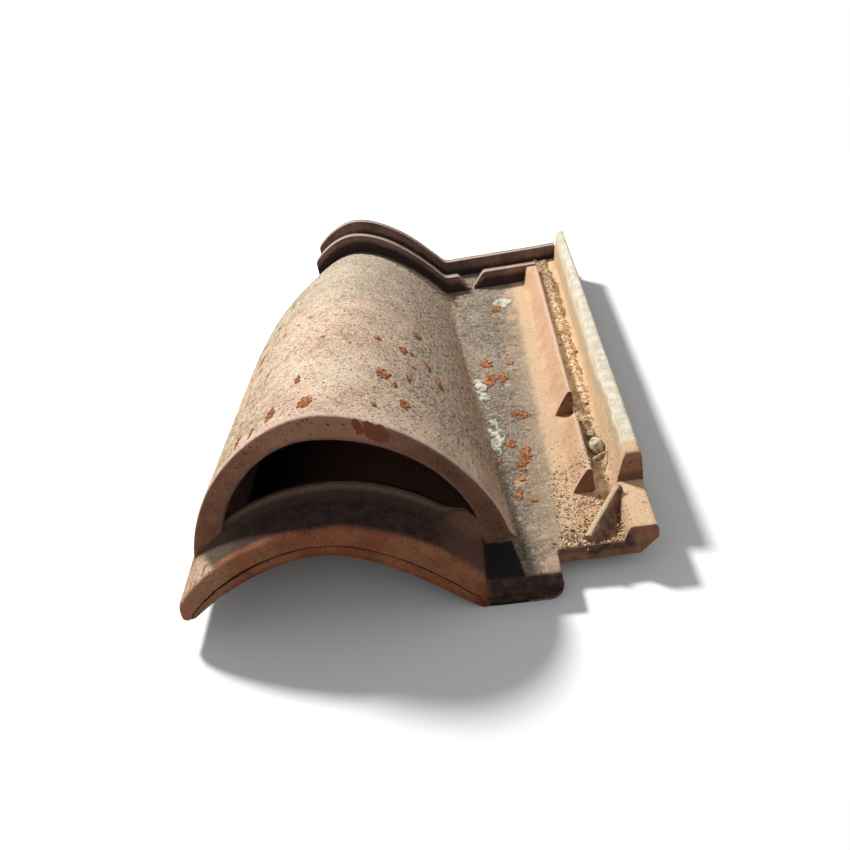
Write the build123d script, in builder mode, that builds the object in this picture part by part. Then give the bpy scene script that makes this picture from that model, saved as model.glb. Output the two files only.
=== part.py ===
from build123d import *
import os

os.makedirs("parts", exist_ok=True)

# Roman interlocking roof tile with a raised ventilation hood: one fired clay piece.
# X runs from the roll's free edge to the side lock, Y from the nose to the head, Z up.
# Until the last step, heights are measured from the top of the flat pan.

tile_width = 264.0
tile_length = 406.0
shell = 12.0                # clay thickness of the pan and of the arches
free_edge_low = -1.5        # underside of the roll's free edge

# roll in front of the hood
roll_crest_x = 88.0
roll_crest = 48.8
roll_foot_x = 172.0
roll_edge_high = 5.0        # outer corner of the free edge at the nose
sill_back = 48.0            # the sill behind the mouth ends here
sill_rim_y = 37.0
sill_rim_wide = 4.0
sill_rim_high = 2.0
nose_depth = 11.0           # thick drip lip along the front edge
nose_low = 17.5             # how far its underside lies below the pan's top
nose_arch = 31.8            # crest of the arch under the nose
nose_foot_x = 165.5
nose_round = 4.0
nose_corner_round = 9.0

# hood over the roll
mouth_y = 33.0
mouth_left = 4.0
mouth_right = 187.0
mouth_crest_x = 92.0
mouth_crest = 97.2
mouth_edge_high = 2.8
hood_belly = 8.0            # how far the hood's crest line swells between its ends
ring_thick = 15.0           # ring around the mouth
mouth_round = 2.5

# head of the roll, and the two weather ribs that cross it
head_length = 41.0
head_crest_x = 88.0
head_crest = 51.0
head_foot_x = 160.0
head_edge_x = 54.0          # the corner beside the head is cut back to here
head_edge_high = 33.0
rib_high = 14.3
rib_thick = 7.5
rib_pitch = 33.0            # from the back rib at the tile's end to the front one
rib_gap_from = 180.0        # the front rib is interrupted over the pan
rib_gap_wide = 14.0

# side lock, along the right edge
lock_wide = 53.5
lock_front = 19.0           # its front edge stands back from the nose
lock_thick = 9.5
inner_rib_set_in = 14.0     # from the lock's step to the foot of its inner rib
inner_rib_wide = 12.8
inner_rib_flat = 2.0
inner_rib_steep = 1.0
inner_rib_head_high = 12.5
inner_rib_high = 17.0
inner_rib_break = 150.0
inner_rib_gap = 3.0
inner_rib_front_back_high = 13.0
inner_rib_front_high = 15.5
inner_rib_front_run = 17.0  # slope of the front length's back end
inner_rib_end = 66.0
outer_rib_wide = 13.0
outer_rib_head_wide = 9.0
outer_rib_high = 27.0
outer_rib_end = 60.0
outer_rib_short = 7.0       # it stops short of the tile's end
outer_rib_round = 5.0
ledge_wide = 14.5
ledge_high = 9.2
bevel_wide = 10.0           # the outer rib is bevelled below
lock_edge_low = 0.5         # up to here
deflector_length = 35.0
deflector_slant = 46.0      # degrees from the nose line
deflector_wide = 8.0
deflector_high = 13.0

# two nibs under the head, which hook over a roof batten
nib_wide = 28.0
nib_thick = 16.0
nib_low = 17.5              # level with the nose, so the tile lies flat
nib_from_head = 18.0
nib_left = 174.0
nib_pitch = 48.0

# places that follow from the sizes
head_y = tile_length - head_length
back_rib_y = tile_length - rib_thick
front_rib_y = back_rib_y - rib_pitch
lock_left = tile_width - lock_wide
inner_rib_foot = lock_left + inner_rib_set_in
inner_rib_right = inner_rib_foot + inner_rib_wide
outer_rib_x = tile_width - outer_rib_wide
outer_rib_head_x = tile_width - outer_rib_head_wide
nib_y = tile_length - nib_from_head - nib_thick
hood_length = head_y - mouth_y
deep = nib_low + 2 * shell  # how far the hollows are cut down, below the tile


def between(a, b, s):
    return a + s * (b - a)


def arch(left, peak_x, right, base_left, base_right, peak, flat, full_left, full_right, steps=7):
    """Points from an arch's left foot over its crest to its right foot."""
    pts = []
    for i in range(steps, 0, -1):
        t = (i / steps) ** 0.8
        rise = (1 - t ** flat) ** full_left
        pts.append((peak_x - t * (peak_x - left), between(base_left, peak, rise)))
    pts.append((peak_x, peak))
    for i in range(1, steps + 1):
        t = (i / steps) ** 0.8
        rise = (1 - t ** flat) ** full_right
        pts.append((peak_x + t * (right - peak_x), between(base_right, peak, rise)))
    return pts


def outline(pts, left_low, right_low):
    """Closed sketch face: the arch above and a stepped underside."""
    mid = 0.5 * (pts[0][0] + pts[-1][0])
    step = [(mid, right_low), (mid, left_low)] if left_low != right_low else [(mid, left_low)]
    with BuildLine(Plane.XY) as edge:
        Spline(*pts)
        Polyline(pts[-1], (pts[-1][0], right_low), *step, (pts[0][0], left_low), pts[0])
    make_face(edge.edges())


def inner_rib_face(high):
    """Section of the lock's inner rib: a long slope on the pan's side, steep towards the trough."""
    top = inner_rib_right - inner_rib_steep
    Polygon((inner_rib_foot, -1), (inner_rib_foot, 0), (top - inner_rib_flat, high), (top, high),
            (inner_rib_right, -1), align=None)


def hood_arch(y):
    """Hood's outer arch at distance y: wide and full at the mouth, cut back on the left at the head."""
    s = (y - mouth_y) / hood_length
    left = between(mouth_left, head_edge_x, 0.1 * s + 0.9 * s ** 6.6)
    peak = between(mouth_crest, head_crest, s) + hood_belly * s * (1 - s)
    return arch(left, between(mouth_crest_x, head_crest_x, s), between(mouth_right, head_foot_x, s),
                between(mouth_edge_high, head_edge_high, s ** 3), 0, peak, 1.8, 0.6 + 0.28 * s ** 3.5,
                between(0.62, 1.02, s))


def hollow_arch(y):
    """Arch of the hollow under the hood at distance y."""
    s = max((y - mouth_y) / hood_length, 0)
    left = between(mouth_left, head_edge_x, 0.1 * s + 0.9 * s ** 6.6) + between(ring_thick + 2, shell, s)
    right = between(mouth_right - ring_thick + 0.5, head_foot_x - shell / 2, s)
    peak = between(mouth_crest - ring_thick, head_crest - shell, s) + hood_belly * s * (1 - s)
    return arch(left, between(mouth_crest_x - 4, head_crest_x, s), right, -shell, -shell, peak, 1.8,
                between(0.46, 0.32, s ** 3), between(0.44, 1.04, s))


# outlines of the roll and the nose
roll_out = arch(0, roll_crest_x, roll_foot_x, roll_edge_high, 0, roll_crest, 2, 0.8, 0.94)
rim_out = arch(0, roll_crest_x, roll_foot_x, roll_edge_high, 0, roll_crest + sill_rim_high, 2, 0.8, 0.94)
roll_in = arch(3, roll_crest_x, roll_foot_x - shell / 2, -shell, -shell, roll_crest - shell, 2, 0.8, 0.95)
nose_in = arch(-12, roll_crest_x - 2, nose_foot_x, -nose_low, -nose_low, nose_arch, 1.8, 1.06, 1.15)
stations = [mouth_y + s * hood_length for s in (0, 0.26, 0.5, 0.71, 0.86, 0.94, 1)]

# the hood's outside, from the mouth to the head ribs, and the plain roll behind it
with BuildPart() as hood:
    for y in stations:
        with BuildSketch(Plane.XZ.offset(-y)):
            outline(hood_arch(y), free_edge_low, -shell)
    loft()
    fillet([e for e in hood.edges().filter_by_position(Axis.Y, mouth_y - 0.01, mouth_y + 0.01)
            if e.geom_type == GeomType.BSPLINE], mouth_round)
with BuildPart() as head:
    with BuildSketch(Plane.XZ.offset(-head_y)):
        outline(hood_arch(head_y), free_edge_low, -shell)
    extrude(amount=-(tile_length - head_y))

# the hollow under the hood and under the head
with BuildPart() as hollow:
    for y in [mouth_y - 4] + stations[1:]:
        with BuildSketch(Plane.XZ.offset(-y)):
            outline(hollow_arch(y), -deep, -deep)
    loft()
with BuildPart() as head_hollow:
    with BuildSketch(Plane.XZ.offset(-head_y)):
        outline(hollow_arch(head_y), -deep, -deep)
    extrude(amount=-(tile_length + 5 - head_y))

# the roll in front of the hood, down to the sill behind the mouth
with BuildPart() as front_roll:
    with BuildSketch(Plane.XZ.offset(-nose_depth + 1)):
        outline(roll_out, free_edge_low, -shell)
    extrude(amount=-(sill_back - nose_depth + 1))
    with BuildSketch(Plane.XZ.offset(-sill_rim_y)):
        outline(rim_out, free_edge_low, -shell)
    extrude(amount=-sill_rim_wide)
    with BuildSketch(Plane.XZ.offset(-nose_depth + 2)):
        outline(roll_in, -deep, -deep)
    extrude(amount=-(sill_back + 5), mode=Mode.SUBTRACT)
    with Locations((roll_foot_x, nose_depth, -shell)):
        Box(8, sill_back - nose_depth, shell, align=(Align.CENTER, Align.MIN, Align.MIN))

# thick nose with a rounded upper edge
with BuildPart() as nose:
    with BuildSketch(Plane.XZ):
        outline(roll_out, free_edge_low, -nose_low)
    extrude(amount=-nose_depth)
    fillet([e for e in nose.edges().filter_by_position(Axis.Y, -0.01, 0.01)
            if e.geom_type == GeomType.BSPLINE], nose_round)
    with BuildSketch(Plane.XZ.offset(1)):
        outline(nose_in, -deep, -deep)
    extrude(amount=-(nose_depth + 2), mode=Mode.SUBTRACT)
with BuildPart() as front_lip:
    with Locations((nose_foot_x, 0, -nose_low)):
        Box(lock_left - nose_foot_x, nose_depth, nose_low, align=(Align.MIN, Align.MIN, Align.MIN))
    fillet(front_lip.edges().filter_by(Axis.Y).sort_by(Axis.Z)[:2].sort_by(Axis.X)[-1], nose_corner_round)
    fillet(front_lip.edges().filter_by(Axis.X).sort_by(Axis.Z)[-2:].sort_by(Axis.Y)[0], nose_round)

# inner rib of the lock: a wedge, steep towards the lock, in two lengths that rise towards the nose
with BuildPart() as inner_rib:
    for y, high in ((inner_rib_break, inner_rib_high), (front_rib_y + rib_thick, inner_rib_head_high)):
        with BuildSketch(Plane.XZ.offset(-y)):
            inner_rib_face(high)
    loft()
with BuildPart() as inner_rib_front:
    for y, high in ((inner_rib_end, inner_rib_front_high), (inner_rib_break, inner_rib_front_back_high)):
        with BuildSketch(Plane.XZ.offset(-y)):
            inner_rib_face(high)
    loft()
    ramp_y = inner_rib_break - inner_rib_gap
    with BuildSketch(Plane.YZ.offset(inner_rib_foot - 1)):
        Polygon((ramp_y, 0), (ramp_y - inner_rib_front_run, inner_rib_front_high),
                (ramp_y - inner_rib_front_run, inner_rib_front_high + 5),
                (inner_rib_break + 1, inner_rib_front_high + 5), (inner_rib_break + 1, 0), align=None)
    extrude(amount=inner_rib_wide + 2, mode=Mode.SUBTRACT)

# outer rib of the lock, narrower at the head, with a lower ledge in front of it
with BuildPart() as outer_rib:
    for y, x in ((outer_rib_end, outer_rib_x), (tile_length - outer_rib_short, outer_rib_head_x)):
        with BuildSketch(Plane.XZ.offset(-y)):
            with BuildLine():
                Line((x, -lock_thick), (x, outer_rib_high - outer_rib_round))
                RadiusArc((x, outer_rib_high - outer_rib_round), (x + outer_rib_round, outer_rib_high),
                          outer_rib_round)
                Polyline((x + outer_rib_round, outer_rib_high), (tile_width, outer_rib_high),
                         (tile_width, -lock_thick), (x, -lock_thick))
            make_face()
    loft()
    with Locations((tile_width, lock_front, -lock_thick)):
        Box(ledge_wide, outer_rib_end - lock_front + 1, lock_thick + ledge_high,
            align=(Align.MAX, Align.MIN, Align.MIN))

# low slanting rib that turns water out of the trough at its front end
run = Vector(1, 0, 0).rotate(Axis.Z, deflector_slant)
side = Vector(-run.Y, run.X, 0)
with BuildPart() as deflector:
    for along, grow in ((0, 0.5), (deflector_length, 1)):
        spot = Vector(inner_rib_foot + 2.5, lock_front + 1.5, -1) + run * along
        with BuildSketch(Plane(origin=spot, x_dir=side, z_dir=run)):
            Polygon((deflector_wide * between(0.5, 1, grow), 0), (0.8, deflector_high * grow + 1),
                    (-0.8, deflector_high * grow + 1), (-1.6, 0), align=None)
    loft()

with BuildPart() as body:
    add(hood.part)
    add(head.part)
    # pan and lock plates
    with BuildSketch(Plane.XY):
        Polygon((roll_foot_x - 2, nose_depth - 1), (lock_left + 1, nose_depth - 1),
                (lock_left + 1, tile_length), (head_foot_x - 14, tile_length),
                (head_foot_x - 14, sill_back + 8), (roll_foot_x - 2, sill_back), align=None)
    extrude(amount=-shell)
    with Locations((lock_left, lock_front, -lock_thick)):
        Box(lock_wide, tile_length - lock_front, lock_thick, align=(Align.MIN, Align.MIN, Align.MIN))
    # weather ribs across the roll and the pan
    for rib_y, rib_right in ((front_rib_y, inner_rib_right - inner_rib_steep),
                             (back_rib_y, outer_rib_head_x + 2)):
        rib_arch = [(x, z + rib_high) for x, z in hood_arch(head_y)]
        with BuildSketch(Plane.XZ.offset(-rib_y)):
            with BuildLine():
                Spline(*rib_arch)
                Polyline(rib_arch[-1], (rib_right, rib_high), (rib_right, -5), (head_foot_x - 5, -5),
                         (head_foot_x - 5, 0), (rib_arch[0][0], free_edge_low), rib_arch[0])
            make_face()
        extrude(amount=-rib_thick)
    with BuildSketch(Plane.XZ.offset(-front_rib_y + 2)):
        Polygon((rib_gap_from, rib_high + 1), (rib_gap_from + 6, 0), (rib_gap_from + rib_gap_wide - 4, 0),
                (rib_gap_from + rib_gap_wide, rib_high / 2), (rib_gap_from + rib_gap_wide + 5, rib_high + 1),
                align=None)
    extrude(amount=-(rib_thick + 4), mode=Mode.SUBTRACT)
    add(hollow.part, mode=Mode.SUBTRACT)
    add(head_hollow.part, mode=Mode.SUBTRACT)
    add(front_roll.part)
    add(nose.part)
    add(front_lip.part)
    add(inner_rib.part)
    add(inner_rib_front.part)
    add(outer_rib.part)
    add(deflector.part)
    # bevel under the outer rib
    with BuildSketch(Plane.XZ.offset(-lock_front + 1)):
        Polygon((tile_width - bevel_wide, -deep), (tile_width - bevel_wide, -lock_thick),
                (tile_width, lock_edge_low), (tile_width + 5, lock_edge_low), (tile_width + 5, -deep),
                align=None)
    extrude(amount=-tile_length, mode=Mode.SUBTRACT)
    for nib_x in (nib_left, nib_left + nib_pitch):
        with Locations((nib_x, nib_y, -nib_low)):
            Box(nib_wide, nib_thick, nib_low - lock_thick + 1, align=(Align.MIN, Align.MIN, Align.MIN))

with BuildPart() as roof_tile:
    add(body.part.moved(Location((-tile_width / 2, -tile_length / 2, nib_low))))

roof_tile.part.label = "roof_tile"
export_step(roof_tile.part, "parts/roof_tile.step")
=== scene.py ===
"""Weathered clay ventilation roof tile: fired clay body, lichen, and the dirt caught in its side lock.

Lengths are worked out in millimetres from the tile's own corner: X from the roll's free edge to the
lock, Y from the nose to the head, Z up from the flat pan. in_frame() turns them into the frame's metres.
"""
import math

import bpy
import numpy as np
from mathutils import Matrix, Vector


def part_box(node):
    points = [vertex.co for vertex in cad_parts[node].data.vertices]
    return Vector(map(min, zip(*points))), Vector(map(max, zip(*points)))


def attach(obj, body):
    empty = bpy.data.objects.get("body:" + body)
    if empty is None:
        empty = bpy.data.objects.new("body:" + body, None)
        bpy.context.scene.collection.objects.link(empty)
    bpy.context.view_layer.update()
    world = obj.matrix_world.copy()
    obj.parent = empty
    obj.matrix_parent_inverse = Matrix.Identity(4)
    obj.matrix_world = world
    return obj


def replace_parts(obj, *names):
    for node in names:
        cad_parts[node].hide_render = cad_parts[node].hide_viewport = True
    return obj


bl_info = {
    "name": "Ventilation Roof Tile",
    "version": (1, 0, 0),
    "blender": (4, 5, 0),
    "location": "View3D > Sidebar > Roof Tile",
    "description": "Builds a weathered clay roof tile with a ventilation hood",
    "category": "Object",
}

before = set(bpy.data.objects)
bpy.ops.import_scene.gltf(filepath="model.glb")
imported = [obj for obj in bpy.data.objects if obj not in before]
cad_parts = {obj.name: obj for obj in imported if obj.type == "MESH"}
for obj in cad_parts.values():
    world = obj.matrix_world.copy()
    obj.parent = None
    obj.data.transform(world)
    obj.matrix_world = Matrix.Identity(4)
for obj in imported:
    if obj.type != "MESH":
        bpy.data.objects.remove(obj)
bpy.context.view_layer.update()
TILE_LOW, TILE_HIGH = (np.array(corner) * 1000 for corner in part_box("roof_tile"))
BODY = "root"
NODE = "roof_tile"

# sizes of the tile, in millimetres
TILE_WIDE, TILE_LONG = 264.0, 406.0
SHELL = 12.0
NOSE_LOW, NOSE_DEPTH = 17.5, 11.0
NOSE_ROUND, MOUTH_ROUND, BACK_ROUND = 5.0, 3.0, 2.0
LIP_ROUND, LOCK_ROUND, SIDE_ROUND = 1.4, 1.8, 2.2

# roll, hood at its mouth, and hood at the head
CREST_X = 88.0
ROLL_RIGHT, ROLL_HIGH = 172.0, 48.8
MOUTH_Y, MOUTH_X, MOUTH_CREST_X, MOUTH_RIGHT, MOUTH_FOOT, MOUTH_HIGH = 33.0, 4.0, 92.0, 187.0, 2.8, 97.2
HEAD_Y, HEAD_X, HEAD_RIGHT, HEAD_FOOT, HEAD_HIGH = 365.0, 54.0, 160.0, 33.0, 51.0
HOLLOW_ROLL_RIGHT = 166.0
HOLLOW_MOUTH_RIGHT, HOLLOW_MOUTH_HIGH = 172.5, 82.2
HOLLOW_HEAD_RIGHT, HOLLOW_HEAD_HIGH = 154.0, 39.0
CREST_SWELL = 8.0
CORNER = 1.8
RING_THICK = 17.0
SILL_BACK = 48.0
WEB_FOOT, WEB_RIGHT = 148.0, 182.0

# lock
LOCK_X, LOCK_Y, LOCK_THICK = 210.5, 19.0, 9.5
INNER_RIB_FOOT, INNER_RIB_TOP, INNER_RIB_RIGHT = 224.5, 235.6, 237.6
INNER_RIB_BREAK, INNER_RIB_END = 150.0, 66.0
OUTER_RIB_X, OUTER_RIB_HIGH, OUTER_RIB_END, OUTER_RIB_BACK = 251.0, 27.0, 60.0, 399.0
LEDGE_X, LEDGE_HIGH = 249.5, 9.2
BED_LEFT, BED_RIGHT = 236.4, 255.6

# weather ribs and nibs
RIB_HIGH, RIB_THICK, RIB_SUNK = 14.3, 7.5, 3.0
FRONT_RIB_Y, BACK_RIB_Y = 365.5, 398.5
NIB_LONG, NIB_DEEP, NIB_Y = 28.0, 16.0, 380.0
NIB_PLACES = (174.0, 222.0)

# shares of a wall's height at which it has a row of points, close together at the mould line
WALL_STEPS = np.concatenate([[0, 0.06, 0.16, 0.24], np.linspace(0.28, 0.56, 13),
                             [0.62, 0.70, 0.82, 0.94, 1.0]])
# distances of the sections behind the nose's rounded edge, close together where its thick part ends
NOSE_STOPS = [5.6, 7.5, 9.5, NOSE_DEPTH - 0.1, NOSE_DEPTH + 0.5, 14]
# an arch's parameter at each of its points
ARCH_TURN = np.linspace(-1, 1, 240)


def in_frame(points):
    """Tile millimetres to frame metres: the tile's corner is the CAD box's low X and low Y corner,
    and the pan's top lies as far above its base as the nose reaches down."""
    return (np.asarray(points, float) + TILE_LOW + [0, 0, NOSE_LOW]) / 1000


def smooth(a, b, value):
    """Smooth step: 0 below a, 1 above b, and 3t^2 - 2t^3 between them."""
    t = np.clip((np.asarray(value, float) - a) / (b - a), 0, 1)
    return t * t * (3 - 2 * t)


def mix(a, b, t):
    """Value that goes from a to b in a straight line as t goes from 0 to 1."""
    return a + (b - a) * t


def rounding(distance, radius):
    """How far a rounded edge lies below its corner, at a distance from it: r - sqrt(r^2 - (r-d)^2)."""
    inset = np.clip(radius - np.asarray(distance, float), 0, radius)
    return radius - np.sqrt(np.maximum(radius ** 2 - inset ** 2, 0))


def rounded_stops(start, way, radius, steps=4):
    """Places along an edge from start, close together over the first radius: start + r(1 - cos a), to the
    right where way is 1 and to the left, listed backwards, where it is -1."""
    turn = np.linspace(0, math.pi / 2, steps + 1)[:-1]
    return (start + way * radius * (1 - np.cos(turn)))[::way]


def lattice(cell, seed):
    """One repeatable random number from 0 to 1 for each lattice corner: a hash of its three counts."""
    x, y, z = np.moveaxis(cell.astype(np.int64), -1, 0)
    mixed = x * 374761393 + y * 668265263 + z * 2147483647 + seed * 1274126177
    mixed = (mixed ^ (mixed >> 13)) * 1274126177
    mixed = mixed ^ (mixed >> 16)
    return (mixed & 0xFFFF) / 65535.0


def grain(points, size, seed=0):
    """Value noise from -1 to 1: lattice numbers blended by smooth steps between the corners of cubes."""
    where = np.asarray(points, float) / size
    low = np.floor(where)
    part = where - low
    part = part * part * (3 - 2 * part)
    total = 0
    for corner in range(8):
        step = np.array([corner & 1, corner >> 1 & 1, corner >> 2 & 1])
        weight = np.prod(np.where(step == 1, part, 1 - part), axis=-1)
        total = total + weight * lattice(low + step, seed)
    return total * 2 - 1


def line_grain(x, size, seed):
    """Value noise along X alone."""
    return grain(np.stack([x, x * 0, x * 0], -1), size, seed)


# outlines

def arch(q, left, peak_x, right, base_left, base_right, peak, flat, full_left, full_right):
    """Arch with q from -1 at its left foot to 1 at its right foot. With a = |q| 90 degrees, a point is
    sin(a)^(2/flat) of the half width aside from the crest and cos(a)^(2 full) of the height up."""
    turn = np.abs(q) * math.pi / 2
    aside = np.sin(turn) ** (2 / flat)
    cosine = np.maximum(np.cos(turn), 0)
    rise = np.where(q < 0, cosine ** (2 * full_left), cosine ** (2 * full_right))
    x = np.where(q < 0, peak_x - aside * (peak_x - left), peak_x + aside * (right - peak_x))
    z = np.where(q < 0, mix(base_left, peak, rise), mix(base_right, peak, rise))
    return np.stack([x, z], -1)


def lengths(curve):
    """Length along an open line at each of its points."""
    return np.concatenate([[0], np.cumsum(np.hypot(*np.diff(curve, axis=0).T))])


def read_along(curve, places):
    """Points of an open line at the given lengths along it."""
    return np.stack([np.interp(places, lengths(curve), curve[:, k]) for k in range(2)], -1)


def evenly(curve, count):
    """The same open line with count points at even lengths along it."""
    return read_along(curve, np.linspace(0, lengths(curve)[-1], count))


def softened(curves, where, rounds):
    """Rows of points, each drawn towards the mean of its neighbours along the row, by weight where."""
    for _ in range(rounds):
        mean = curves.copy()
        mean[:, 1:-1] = 0.25 * curves[:, :-2] + 0.5 * curves[:, 1:-1] + 0.25 * curves[:, 2:]
        curves = curves + where[..., None] * (mean - curves)
    return curves


def normals_2d(curves):
    """Unit normals of rows of points in the X-Z plane: the row's direction turned left."""
    way = np.gradient(curves, axis=1)
    way /= np.maximum(np.hypot(way[..., 0], way[..., 1]), 1e-9)[..., None]
    return np.stack([-way[..., 1], way[..., 0]], -1)


def above_pan(line):
    """An arch without the part of its left side that lies below the pan's top."""
    return line[(ARCH_TURN > -0.5) | (line[:, 1] >= -1.5)]


def left_wall(x, high, count):
    """Points up the cut left side, from just below the pan's top to the foot of the arch."""
    return np.stack([np.full(count, x), np.linspace(-1.5, high, count, endpoint=False)], -1)


def hood_share(y):
    """Share of the way from the mouth, 0, to the head, 1."""
    return np.clip((y - MOUTH_Y) / (HEAD_Y - MOUTH_Y), 0, 1)


def hood_left(s):
    """X of the hood's cut left side: nearly straight, then swept in over its last quarter."""
    return mix(MOUTH_X, HEAD_X, 0.1 * s + 0.9 * s ** 6.6)


def hood_outer(y, count=168):
    """Hood's outside at distance y: up the cut left side, over the arch, and flared out onto the pan."""
    s = float(hood_share(y))
    base = mix(MOUTH_FOOT, HEAD_FOOT, s ** 3)
    left, right = float(hood_left(s)), mix(MOUTH_RIGHT, HEAD_RIGHT, s)
    high = mix(MOUTH_HIGH, HEAD_HIGH, s) + CREST_SWELL * s * (1 - s)
    top = arch(ARCH_TURN, left, mix(MOUTH_CREST_X, CREST_X, s), right, base, 0.0, high, CORNER,
               0.6 + 0.28 * s ** 3.5, mix(0.62, 1.02, s))
    flare = np.stack([np.linspace(right, right + 9, 12)[1:], np.linspace(0, -0.25, 12)[1:]], -1)
    return evenly(np.concatenate([left_wall(left, base, 12), top, flare]), count)


def hood_inner(y, count=168):
    """Hollow under the hood at distance y, from the left wall's foot to the pan's underside."""
    s = float(hood_share(y))
    left = float(hood_left(s)) + mix(RING_THICK, SHELL, s)
    high = mix(HOLLOW_MOUTH_HIGH, HOLLOW_HEAD_HIGH, s) + CREST_SWELL * s * (1 - s)
    line = arch(ARCH_TURN, left, CREST_X, mix(HOLLOW_MOUTH_RIGHT, HOLLOW_HEAD_RIGHT, s), -SHELL, -SHELL,
                high, CORNER, mix(0.46, 0.32, s ** 3), mix(0.44, 1.04, s))
    return evenly(above_pan(line), count)


# meshes

def grid_faces(index):
    """Quads between neighbouring entries of a grid of vertex numbers."""
    return np.stack([index[:-1, :-1], index[1:, :-1], index[1:, 1:], index[:-1, 1:]], -1).reshape(-1, 4)


class Shell:
    """Points, quads and painted marks of a mesh under construction, gathered from several surfaces."""

    def __init__(self, marks=()):
        self.points, self.faces, self.marks = [], [], {name: [] for name in marks}
        self.count = 0

    def add(self, points, faces, **marks):
        """Adds the points that the faces use; marks that aren't given are 0."""
        points = np.asarray(points, float).reshape(-1, 3)
        used, index = np.unique(faces, return_inverse=True)
        self.points.append(points[used])
        self.faces.append(index.reshape(faces.shape) + self.count)
        for name, rows in self.marks.items():
            value = np.broadcast_to(np.asarray(marks.get(name, 0.0), float), (len(points),))
            rows.append(value[used])
        self.count += len(used)

    def block(self, block, **marks):
        """The six outer faces of a block of points: a shape worked out as a function of three
        parameters, of which each face holds one at its end and runs over the other two."""
        a, b, c = block.shape[:3]
        index = np.arange(a * b * c).reshape(a, b, c)
        sides = (index[0].T, index[-1], index[:, 0], index[:, -1].T, index[:, :, 0].T, index[:, :, -1])
        faces = np.concatenate([grid_faces(side) for side in sides])
        p = block.reshape(-1, 3)[faces]
        volume = np.sum(p[:, 0] * np.cross(p[:, 1], p[:, 2]) + p[:, 0] * np.cross(p[:, 2], p[:, 3]))
        marks = {name: np.broadcast_to(value, (a, b, c)).reshape(-1) for name, value in marks.items()}
        self.add(block, faces if volume > 0 else faces[:, ::-1], **marks)

    def mesh(self, name, relief=None, paint=None, crease=40):
        """The gathered surfaces as one mesh, moved along their normals by relief, kept within the tile's
        box, and with the marks written as one number for each vertex."""
        points = np.concatenate(self.points)
        marks = {key: np.concatenate(rows) for key, rows in self.marks.items()}
        data = bpy.data.meshes.new(name)
        fill(data, in_frame(points), np.concatenate(self.faces))
        if relief is not None:
            normals = np.empty(len(points) * 3, np.float32)
            data.vertices.foreach_get("normal", normals)
            points = points + normals.reshape(-1, 3) * relief(points)[:, None]
        box_high = TILE_HIGH - TILE_LOW - [0, 0, NOSE_LOW]
        points = np.clip(points, [0.01, 0.01, 0.01 - NOSE_LOW], box_high - 0.01)
        data.vertices.foreach_set("co", in_frame(points).astype(np.float32).ravel())
        if paint is not None:
            marks.update(paint(points))
        for key, value in marks.items():
            layer = data.attributes.new(key, "FLOAT", "POINT")
            layer.data.foreach_set("value", value.astype(np.float32))
        data.update()
        data.set_sharp_from_angle(angle=math.radians(crease))
        return data


def fill(data, points, faces):
    """Writes vertices and equal-sided faces into an empty mesh as whole arrays."""
    sides = faces.shape[1]
    data.vertices.add(len(points))
    data.vertices.foreach_set("co", points.astype(np.float32).ravel())
    data.loops.add(faces.size)
    data.loops.foreach_set("vertex_index", faces.astype(np.int32).ravel())
    data.polygons.add(len(faces))
    data.polygons.foreach_set("loop_start", np.arange(0, faces.size, sides, dtype=np.int32))
    data.polygons.foreach_set("loop_total", np.full(len(faces), sides, np.int32))
    data.update(calc_edges=True)
    data.validate()
    data.polygons.foreach_set("use_smooth", np.ones(len(data.polygons), bool))


def put(data, name, material):
    """Puts a finished mesh into the scene as a piece of the tile's only body."""
    piece = bpy.data.objects.new(name, data)
    bpy.context.scene.collection.objects.link(piece)
    data.materials.append(material)
    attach(piece, BODY)
    return piece


# the fired clay body

def hood_rows():
    """Distances of the hood's sections: close together at both rounded ends."""
    return np.concatenate([rounded_stops(MOUTH_Y, 1, MOUTH_ROUND, 5),
                           np.linspace(MOUTH_Y + MOUTH_ROUND, HEAD_Y, 80),
                           np.linspace(HEAD_Y + 3, TILE_LONG - 3, 12),
                           rounded_stops(TILE_LONG, -1, BACK_ROUND, 3)])


def hood_surface():
    """Rows of the hood's outside, with a hollow fillet of about 4 mm where it meets the pan."""
    rows = hood_rows()
    outer = np.stack([hood_outer(y) for y in rows])
    from_end = np.arange(outer.shape[1])[::-1]
    blend = smooth(0, 2, from_end) * (1 - smooth(9, 16, from_end))
    return rows, softened(outer, np.broadcast_to(blend, outer.shape[:2]), 14)


def hood_block(rows, outer):
    """Hood as a block: across the arch, along the tile and through the wall. The inner edges of its ends
    are rounded half as much as the outer ones."""
    inner = np.stack([hood_inner(y) for y in rows])
    front, back = rows - MOUTH_Y, TILE_LONG - rows
    low_out = rounding(front, MOUTH_ROUND) + rounding(back, BACK_ROUND)
    low_in = rounding(front, MOUTH_ROUND / 2) + rounding(back, BACK_ROUND / 2)
    outer = outer - normals_2d(outer) * low_out[:, None, None]
    inner = inner + normals_2d(inner) * low_in[:, None, None]
    through = np.array([0, 0.06, 0.2, 0.4, 0.6, 0.8, 0.94, 1.0])
    section = mix(inner[:, :, None], outer[:, :, None], through[None, None, :, None])
    y = np.broadcast_to(rows[:, None, None], section.shape[:3])
    ring = 1 - smooth(MOUTH_Y + 0.5, MOUTH_Y + 3.5, y)
    inside = 1 - smooth(0.0, 0.12, through)
    return np.stack([section[..., 0], y, section[..., 1]], -1), ring, inside


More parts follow.
